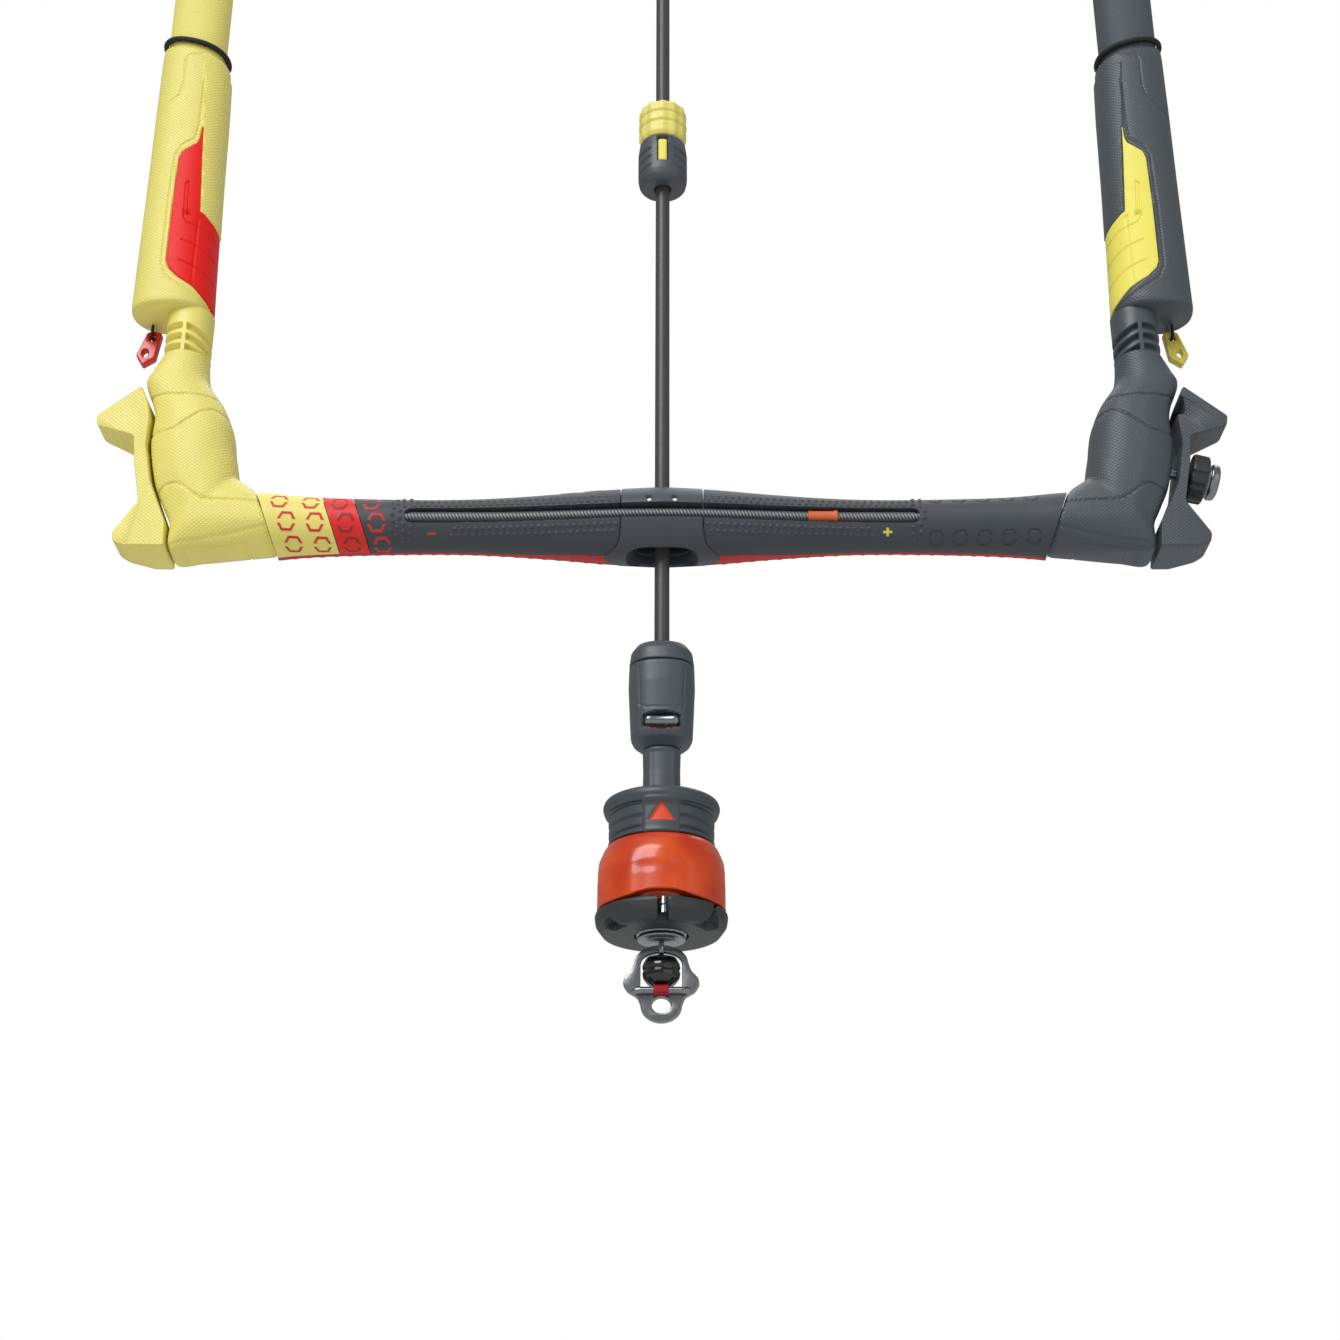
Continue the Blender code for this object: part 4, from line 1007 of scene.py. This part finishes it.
def tunnel_tool():
    """The line's tunnel as a solid: a squared oval, wider and further forward at its mouth."""
    level = np.array([40.0, 39.0, 0.0, -10.0, -12.0, -14.0, -16.0, -18.0, -39.0, -40.0])
    size = np.array([0.05, 1.0, 1.0, 1.0, 1.03, 1.1, 1.2, 1.28, 1.3, 0.05])[:, None]
    c, s = rounded(np.linspace(0, 2 * math.pi, 120, endpoint=False)[None, :], TUNNEL_POWER)
    forward = 2.4 * smooth((-level[:, None] - 10) / 8)
    wide, deep = TUNNEL_HALF
    grid = np.stack(np.broadcast_arrays(wide * size * c, TUNNEL_Y - forward + deep * size * s,
                                        level[:, None]), axis=-1)
    return skin("tunnel_tool", grid)


def sight_tools():
    """Two cones that slope up from the front of the block, through it to the back."""
    made = []
    for side in (-1, 1):
        route = [(side * SIGHT_X, -26 + 5.2 * i, SIGHT_START + 2.32 * i) for i in range(11)]
        widths = np.linspace(0.9, 2.4, len(route))[:, None]
        made.append(skin("sight_tool", tube_grid(route, widths, 20)))
    return made


def make_block():
    """The centre block: a barrel whose lower edge flares over the grips, with the slot
    across its front, the line's tunnel through it and two sight holes."""
    grid, liner = block_grid()
    made = skin("block_shell", grid, "fan", {"liner": liner})
    carve(made, [tunnel_tool()] + sight_tools())
    dress(made, "bar", "slate_plastic", "block", "centre_block")


def make_bush():
    """The dark bush that lines the tunnel, pierced by the same sight holes."""
    wall = trace([(-0.1, 19.6), (-1.0, 19.4), (-1.6, 17.0), (-1.6, -9.0), (-1.2, -11.6),
                  (-0.1, -12.0)], 0.5, 0.6, True)
    c, s = rounded(np.linspace(0, 2 * math.pi, 120, endpoint=False), TUNNEL_POWER)
    out, z = wall[:, 0][:, None], wall[:, 1][:, None]
    wide, deep = TUNNEL_HALF
    grid = np.stack(np.broadcast_arrays((wide + out) * c, TUNNEL_Y + (deep + out) * s, z),
                    axis=-1)
    made = skin("bush_shell", grid, None)
    carve(made, sight_tools())
    dress(made, "bar", "slate_plastic", "black", "tunnel_bush")


def make_trim():
    """The braided trim line with its leads into both ends, its channel tube, and the marker."""
    x = np.linspace(-204, 204, 1500)
    route = np.column_stack([x, TRIM_Y - line_bow(x), 0 * x])
    left = np.linspace((-238.5, -9.6, 25.0), route[0], 60)[:-1]
    right = np.linspace(route[-1], (238.5, -9.6, 25.0), 60)[1:]
    step = 0.3
    route = trace(np.vstack([left, route, right]), step, 1.5)
    grid = tube_grid(route, TRIM_RADIUS, 24, 0.14, TRIM_PITCH)
    far = np.arange(len(grid))[:, None] * step
    angle = np.linspace(0, 2 * math.pi, 24, endpoint=False)[None, :]
    fleck = inside(np.cos(2 * math.pi * far / TRIM_PITCH + 3 * angle) - 0.2, 0.8)
    dress(skin("trim_braid_line", grid, "fan", {"inlay": fleck}), "bar", "trim_braid",
          "braid", "trim_line")
    x = np.linspace(-126.5, 126.5, 300)
    path = np.column_stack([x, -10.0 - line_bow(x), 0 * x])
    dress(skin("channel_tube", tube_grid(path + (0, 0.3, 0.35), 3.0, 36)), "bar",
          "trim_braid", "channel")
    marker = ((2.4, 7.5), (3.1, 7.2), (3.2, 5.6), (2.8, 5.2), (2.8, -6.4), (3.0, -6.8),
              (2.8, -7.5), (2.4, -7.5))
    grid = turned_grid(marker, 48, closed=True, step=0.3, soften=0.2)
    grid = aimed(grid, (80.5, TRIM_Y - 0.35, 0), (1, 0, 0))
    dress(skin("marker_sleeve", grid, None), "marker", "marker_plastic", "marker",
          "trim_marker")


# --- bar ends -----------------------------------------------------------------------------

END_STATIONS = (
    ((204.6, 15.8), (193.9, -15.4), 17.0, 2.0, 2.0),
    ((207.5, 19.5), (213.0, -16.4), 17.4, 2.2, 2.6),
    ((211.5, 22.6), (232.0, -17.0), 17.8, 2.3, 4.0),
    ((214.7, 25.0), (245.6, -17.1), 18.0, 2.4, 5.5),
    ((216.0, 28.5), (246.6, -3.4), 18.4, 2.4, 6.5),
    ((217.0, 34.0), (251.5, 8.2), 18.8, 2.4, 6.5),
    ((218.6, 41.9), (256.2, 19.8), 19.0, 2.4, 6.5),
    ((219.6, 49.0), (260.3, 41.0), 18.8, 2.4, 6.0),
    ((221.4, 56.7), (259.9, 57.0), 18.0, 2.4, 6.0),
    ((226.5, 68.7), (261.9, 66.6), 16.4, 2.3, 5.0),
    ((233.6, 79.5), (266.6, 79.0), 14.8, 2.2, 4.0),
    ((235.8, 86.0), (264.8, 86.5), 13.8, 2.1, 3.0),
    ((237.0, 97.0), (260.8, 98.0), 12.4, 2.2, 2.2))
FLANK_DEPTH = 14.2
UPPER_GROOVE = ((264.0, 69.0), (229.0, 69.0))
MIDDLE_GROOVE = ((262.0, 46.5), (247.2, 47.4), (240.6, 52.9), (234.4, 57.9), (229.4, 60.4),
                 (220.0, 59.2))
LOWER_GROOVE = ((256.0, 11.6), (250.3, 16.0), (244.6, 16.7), (239.8, 14.3), (234.3, 10.0),
                (229.5, 7.5), (225.0, 6.9), (201.5, 6.9))
FRONT_CREASE = ((250.0, -16.8), (218.2, -11.2), (192.0, -5.2))


def make_bar_end(side, word, slot, look):
    """A bar end: squared ovals between an inner and an outer rail, with panel grooves and
    a knurled skin."""
    rows = 240
    at = np.linspace(0, len(END_STATIONS) - 1, rows)
    knots = np.arange(len(END_STATIONS))
    table = np.array([a + b + tuple(rest) for a, b, *rest in END_STATIONS])
    ax, az, bx, bz, depth, soft, square = (eased(at, knots, column)[:, None]
                                           for column in table.T)
    angle = np.linspace(0, 2 * math.pi, 180, endpoint=False)[None, :]
    c, s = rounded(angle, np.where(np.cos(angle) > 0, square, soft))
    x = (ax + bx) / 2 + (bx - ax) / 2 * c
    z = (az + bz) / 2 + (bz - az) / 2 * c
    flank = FLANK_DEPTH + (depth - FLANK_DEPTH) * smooth((1 - c) * 1.25)
    y = np.where(c > 0, np.minimum(depth, flank), depth) * s
    seam = smooth((2.5 - np.arange(rows)) / 2.5)[:, None]
    height = -0.6 * seam
    for points in (UPPER_GROOVE, MIDDLE_GROOVE, LOWER_GROOVE):
        height = height + groove(x, z, points, 0.5, 0.75)
    height = height + groove(x, z, FRONT_CREASE, 0.7, 0.35) * (y < 0)
    bottom = np.maximum(np.abs(x - 223.0) - 15.5, np.abs(y) - 9.0)
    label = inside(np.abs(bottom) - 0.35, 0.4) * inside(z + 11.0, 2.0)
    height = height - 0.4 * label
    grid = np.stack([x, y, z], axis=-1)
    grid = lift(grid, height)
    grid[..., 0] *= side
    dress(skin(f"bar_end_shell_{word}", grid), "bar", slot, look + "_weave",
          f"bar_end_{word}")


HORN_OUTLINE = ((267.4, 75.2), (288.7, 57.3), (287.5, 51.4), (268.6, 45.6), (267.1, 31.1),
                (262.6, 8.2), (273.9, -9.9), (272.9, -14.9), (268.0, -17.0), (247.2, -17.2),
                (247.9, -3.4), (252.8, 8.2), (257.5, 19.8), (261.6, 41.0), (261.2, 57.0),
                (263.2, 66.4))

HORN_OPENING = (0.4, 1.0, 2.0, 2.4, 2.2, 1.6, 1.0)


def make_horn(side, word, slot, look):
    """A winding horn: the closed outline carried across the bar, stepped in at its edges,
    and thinner from behind towards its two tips. The right horn stands further off."""
    outline = np.array(HORN_OUTLINE)
    if side > 0:
        outline[-len(HORN_OPENING):, 0] += HORN_OPENING
    line = trace(outline, 0.5, 1.3, True)
    along = np.roll(line, -2, axis=0) - np.roll(line, 2, axis=0)
    along /= np.linalg.norm(along, axis=1, keepdims=True)
    turned = np.sum(line[:, 0] * np.roll(line[:, 1], -1) - np.roll(line[:, 0], -1) * line[:, 1])
    outward = np.column_stack([along[:, 1], -along[:, 0]]) * np.sign(turned)
    across = np.array([-14.0, -13.8, -13.2, -12.0, -6.0, 0.0, 6.0, 12.0, 13.2, 13.8, 14.0])
    step_in = np.array([0.7, 0.4, 0.15, 0.0, 0.0, 0.0, 0.0, 0.0, 0.15, 0.4, 0.7])
    rows = line[None] - outward[None] * step_in[:, None, None]
    x, z = rows[..., 0], rows[..., 1]
    root = eased(z, (10, 45), (257, 267))
    thin = np.clip((x - root) / eased(z, (10, 45), (17, 21)), 0, 1)
    y = across[:, None] - 11.0 * thin * (across[:, None] + 14) / 28
    grid = np.stack([x * side, y, z], axis=-1)
    made = skin(f"horn_shell_{word}", grid, "flat", crease=28)
    if side > 0:
        level = np.linspace(-24, 6, 12)[:, None]
        c, s = rounded(np.linspace(0, 2 * math.pi, 60, endpoint=False)[None, :], 5.0)
        pocket = np.stack(np.broadcast_arrays(262.0 + 5.2 * c, level, 63.5 + 5.8 * s), axis=-1)
        carve(made, [skin("pocket_tool", pocket)])
    dress(made, "bar", slot, look + "_weave", f"horn_{word}")


def make_knob():
    """The notched knob and its steel push button."""
    aim = (math.cos(KNOB_TILT), 0, -math.sin(KNOB_TILT))
    cap = ((0, 1.5), (9.7, 1.5), (9.7, 8.6), (11.4, 8.75), (12.4, 7.9), (12.5, 1.0),
           (11.8, 0.1), (0, 0))
    grid = turned_grid(cap, 240, step=0.3, soften=0.3)
    angle = np.arctan2(grid[..., 1], grid[..., 0])
    outer = inside(11.2 - np.hypot(grid[..., 0], grid[..., 1]), 0.8)
    notch = inside(np.abs((angle * 12 / math.pi) % 2 - 1) - 0.35, 0.25)
    grid = aimed(lift(grid, -1.0 * notch * outer), KNOB_BASE, aim)
    dress(skin("knob_shell", grid), "knob", "black_plastic", "black", "knob")
    push = ((0, 15.1), (6.6, 15.1), (8.7, 14.2), (9.3, 12.4), (9.3, 10.6), (8.6, 10.2),
            (8.6, 9.4), (9.3, 9.0), (9.3, 6.5), (0, 6.5))
    grid = turned_grid(push, 120, step=0.3, soften=0.3)
    x, y, z = np.moveaxis(grid, -1, 0)
    dish = -0.8 * inside(np.hypot(x, y) - 4.6, 0.8) * inside(14.0 - z, 0.5)
    grid = aimed(lift(grid, dish), KNOB_BASE, aim)
    dress(skin("push_button", grid), "button", "steel", "steel", "release_button")


# --- floats -------------------------------------------------------------------------------

SLEEVE = ((124.3, 259.0, 19.4, 15.4), (125.6, 259.0, 20.9, 16.9), (128.0, 259.0, 21.3, 17.2),
          (146.0, 259.2, 20.9, 17.0), (210.0, 259.8, 19.8, 16.2), (254.0, 260.1, 19.4, 15.8),
          (286.0, 260.4, 18.8, 15.4), (291.0, 260.4, 18.5, 15.2))


def sleeve_section(z):
    """Centre, half width and half depth of the sleeve at a height."""
    table = np.array(SLEEVE)
    return (np.interp(z, table[:, 0], table[:, k]) for k in (1, 2, 3))


def sleeve_grid(z, angle, grow=0.0):
    """Points of the sleeve's squared oval at heights and angles, grown by an amount."""
    centre, wide, deep = sleeve_section(z)
    c, s = rounded(angle, FLOAT_POWER)
    x, y, z = np.broadcast_arrays(centre + (wide + grow) * c, (deep + grow) * s, z)
    return np.stack([x, y, z], axis=-1)


def front_angle(x, z):
    """The angle of the sleeve's section where its front crosses x."""
    centre, wide = list(sleeve_section(z))[:2]
    share = np.clip((x - centre) / wide, -1, 1)
    deep = -(1 - np.abs(share) ** FLOAT_POWER) ** (1 / FLOAT_POWER)
    return np.arctan2(deep, share) % (2 * math.pi)


INSERT_EDGE = ((125.4, 236.4), (134.7, 245.5), (140.0, 254.6), (145.3, 259.6), (149.3, 261.0),
               (184.2, 261.2), (216.0, 260.6), (220.6, 259.2), (223.4, 255.8), (227.0, 251.6),
               (231.0, 250.4), (238.0, 250.1))
INSERT_LIP = ((251.9, 271.8), (251.9, 239.0), (253.2, 230.0), (259.6, 225.6), (263.2, 218.6),
              (264.2, 186.0), (264.2, 148.0), (260.6, 139.4), (247.0, 131.0), (236.4, 124.8))
INSERT_LINES = (
    ((252.6, 179.0), (253.9, 201.0), (255.4, 199.6), (254.6, 177.4), (252.2, 174.3),
     (243.0, 171.5), (238.0, 168.0)),
    ((254.5, 163.2), (246.5, 160.5), (238.0, 155.4)),
    ((254.7, 150.2), (245.2, 146.6), (238.0, 142.0)))
PANEL_LINE = ((253.7, 290.0), (262.0, 286.5), (263.4, 282.0), (263.0, 267.5), (264.6, 259.6),
              (274.1, 250.3), (281.0, 244.6))


def plaque_edge(z, lean):
    """Where the sleeve's plaque ends across the front at a height; lean slants it."""
    x, low = PLAQUE_CORNER
    return x + (z - low) * lean


def plaque_foot(x):
    """The height of the plaque's lower edge, which falls away from its corner."""
    return 183.4 - 0.9 * (PLAQUE_CORNER[0] - x)


def make_float_sleeve(side, word, slot, look):
    """The float's sleeve: a plaque raised down its inner side, two seams, a sunk bed for
    the insert, and a slanted top end."""
    z = np.linspace(SLEEVE[0][0], SLEEVE[-1][0], 270)[:, None]
    angle = np.linspace(0, 2 * math.pi, 230, endpoint=False)[None, :]
    grid = sleeve_grid(z, angle)
    x, y, z = np.moveaxis(grid, -1, 0)
    front = inside(y, 1.0)
    plaque = np.maximum(np.maximum(x - plaque_edge(z, 0.06), plaque_foot(x) - z), z - 284.0)
    height = 0.85 * inside(np.maximum(plaque, y - 5.0), 0.6)
    height = height + groove(x, z, INSERT_LIP, 0.4, 0.55) * front
    height = height + groove(x, z, PANEL_LINE, 0.4, 0.5) * front
    height = height - 1.0 * inside(insert_distance(x, z) - 0.4, 0.4) * front
    grid = lift(grid, height)
    slope = smooth((z - 250.0) / 41.0) * 0.27
    grid[..., 2] += slope * (x - 260.4)
    grid[..., 0] *= side
    dress(skin(f"sleeve_shell_{word}", grid), f"float_{word}", slot, look + "_weave",
          f"float_sleeve_{word}")


def insert_sides(heights):
    """The angles of the insert's two edges: the inner one wraps round the sleeve at its
    foot and runs beside the plaque above it."""
    table = np.array(INSERT_EDGE)
    outer = front_angle(np.interp(heights, table[:, 0], table[:, 1]), heights)
    beside = front_angle(plaque_edge(heights, INSERT_LEAN), heights)
    cross = smooth((heights - 175.5) / 8.0)
    inner = math.radians(152) * (1 - cross) + beside * cross
    return np.minimum(inner, outer - 0.02), outer


def insert_distance(x, z):
    """Roughly how far a front point is outside the insert's outline; below zero is inside."""
    table = np.array(INSERT_EDGE)
    edge = np.interp(z, table[:, 0], table[:, 1])
    inner = np.where(z < plaque_foot(x), -1e3, plaque_edge(z, INSERT_LEAN))
    foot, head = INSERT_SPAN
    return np.maximum(np.maximum(x - edge, inner - x), np.maximum(foot - z, z - head))


def make_insert(side, word, slot, look):
    """The coloured insert: a thin plate over the sleeve's front with grooves across it."""
    heights = np.linspace(*INSERT_SPAN, 200)[:, None]
    inner, outer = insert_sides(heights)
    share = np.linspace(0, 1, 110)[None, :]
    angle = inner + (outer - inner) * share
    face = sleeve_grid(heights, angle)
    x, y, z = np.moveaxis(face, -1, 0)
    height = 0.35 + groove(x, z, ((247.2, 128.0), (247.2, 180.0)), 0.5, 0.35) * (y < -4)
    height = height + sum(groove(x, z, points, 0.35, 0.6) for points in INSERT_LINES)
    rim = smooth(np.minimum(share, 1 - share) * 24 + 0.2)
    outward = sleeve_grid(heights, angle, 1.0) - face
    outward /= np.linalg.norm(outward, axis=-1, keepdims=True)
    top = face + outward * (height * rim)[..., None]
    bottom = face[:, ::-1] - 1.6 * outward[:, ::-1]
    grid = np.concatenate([top, bottom], axis=1)
    grid[..., 0] *= side
    dress(skin(f"insert_shell_{word}", grid, "flat", crease=40), f"float_{word}", slot, look,
          f"float_insert_{word}")


def make_foam(side, word, slot, look):
    """The upper foam tube with its knurled skin, and the rubber ring round its foot."""
    body = f"float_{word}"
    profile = trace([(15.0, 12.0, 288.0), (15.9, 12.9, 289.0), (15.9, 12.9, 372.0),
                     (15.0, 12.0, 377.4), (12.4, 9.6, 379.9), (6.0, 4.5, 380.0)], 0.55, 1.1)
    angle = np.linspace(0, 2 * math.pi, 190, endpoint=False)[None, :]
    c, s = rounded(angle, 2.2)
    wide, deep, z = (column[:, None] for column in profile.T)
    grid = np.stack(np.broadcast_arrays(FLOAT_X + wide * c, deep * s, z), axis=-1)
    grid[..., 0] *= side
    dress(skin(f"foam_shell_{word}", grid), body, slot, look, f"float_foam_{word}")
    angle = np.linspace(0, 2 * math.pi, 120, endpoint=False)
    c, s = rounded(angle, 2.2)
    loop = np.column_stack([side * (FLOAT_X + 17.6 * c), 14.4 * s, 297.6 + 4.3 * c])
    dress(skin(f"ring_shell_{word}", ring_tube(loop, 1.5), None), body, "black_cord", "cord",
          f"float_ring_{word}")


def make_neck(side, word, slot, look):
    """The flexible neck, ribbed by three slots on each side of its front rib."""
    z = np.linspace(96.0, 124.6, 110)[:, None]
    angle = np.linspace(0, 2 * math.pi, 200, endpoint=False)[None, :]
    c, s = rounded(angle, 2.2)
    grid = np.stack(np.broadcast_arrays(248.8 + 12.0 * c, 12.3 * s, z), axis=-1)
    x, y, z = np.moveaxis(grid, -1, 0)
    drop = np.clip(248.0 - x, 0, 15) * 0.5 * (y < 3)
    height = np.zeros_like(x)
    for level in (112.6, 106.2, 99.8):
        height = height - 3.0 * inside(np.abs(z + drop - level) - 1.75, 0.9)
    rib = inside(1.3 - np.abs(x - 249.0), 0.6) * (y < 0) + (y >= 0)
    grid = lift(grid, height * rib)
    grid[..., 0] *= side
    made = skin(f"neck_shell_{word}", grid)
    dress(made, None, slot, look, f"neck_{word}")
    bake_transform(made)


def make_tab(side, word, slot, look):
    """The clear pull tab with its eye, and the cord loop it hangs on."""
    shape = trace([(265.8, 120.6), (270.0, 122.0), (273.6, 121.0), (278.4, 107.0),
                   (274.6, 100.7), (268.2, 105.0)], 0.4, 1.0, True)
    eye = np.array(arc((270.5, 117.5), 1.9, 0, 345, 1.0, 20))
    low = np.array(arc((273.6, 108.0), 1.6, 0, 345, 1.5, 20))
    outlines = [line * (side, 1) for line in (shape, eye, low)]
    dress(plate(f"tab_shell_{word}", outlines, 10.0, 2.4, 0.8), f"tab_{word}", slot, look,
          f"tab_{word}")
    turn = np.radians(np.linspace(180, 360, 40))
    loop = np.column_stack([np.full(40, side * 270.5), 10 + 4.0 * np.cos(turn),
                            119.4 + 1.9 * np.sin(turn)])
    route = np.vstack([[side * 270.5, 6.0, 124.2], loop, [side * 270.5, 14.0, 124.2]])
    dress(skin(f"tab_loop_{word}", tube_grid(trace(route, 0.3, 0.3), 0.8, 16)),
          f"float_{word}", "black_cord", "cord", f"tab_cord_{word}")


def finish_kept_nodes():
    """Finishes for the frame's own pieces that stay in sight."""
    kept = {"line_end_eye": "steel", "latch_pin": "steel",
            "release_spring": "steel", "core_left": "satin", "core_right": "satin",
            "return_pulley": "black", "pulley_pin": "steel", "winch_axle": "steel",
            "winch_drum": "black", "ratchet_wheel": "steel", "button_washer": "steel",
            "ratchet_pawl": "steel"}
    for node, look in kept.items():
        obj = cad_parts[node]
        obj.data.materials.clear()
        obj.data.materials.append(finishes[look])


def add_floor():
    """A plain pale floor, well below the hanging object."""
    reach, level = 6000.0, -1300.0 + EYE_ABOVE_BAR
    turn = np.linspace(0, 2 * math.pi, 64, endpoint=False)[None, :]
    depth = np.array([level, level - 20.0])[:, None]
    grid = np.stack(np.broadcast_arrays(reach * np.cos(turn), reach * np.sin(turn), depth),
                    axis=-1)
    floor = skin("floor", grid)
    floor.data.materials.append(finish("pale_floor", (206, 206, 204), 0.8, depth=0.0))


add_camera()
add_surroundings()
make_line()
make_stopper()
make_head()
make_head_pin()
make_stem()
make_collar()
make_cuff()
make_base()
make_swivel()
make_shackle()
make_grips()
make_block()
make_bush()
make_trim()
make_knob()
for side, word, slot, look, foam, tab_slot, tab_look, insert_slot, insert_look in (
        (-1, "left", "yellow_plastic", "lemon", "lemon_foam", "red_tab", "red_clear",
         "red_plastic", "scarlet"),
        (1, "right", "slate_plastic", "slate", "slate_foam", "yellow_tab", "lemon_clear",
         "yellow_plastic", "lemon_insert")):
    make_bar_end(side, word, slot, look)
    make_horn(side, word, slot, look)
    make_float_sleeve(side, word, slot, look)
    make_insert(side, word, insert_slot, insert_look)
    make_foam(side, word, slot, foam)
    make_neck(side, word, slot, look)
    make_tab(side, word, tab_slot, tab_look)
finish_kept_nodes()
add_floor()
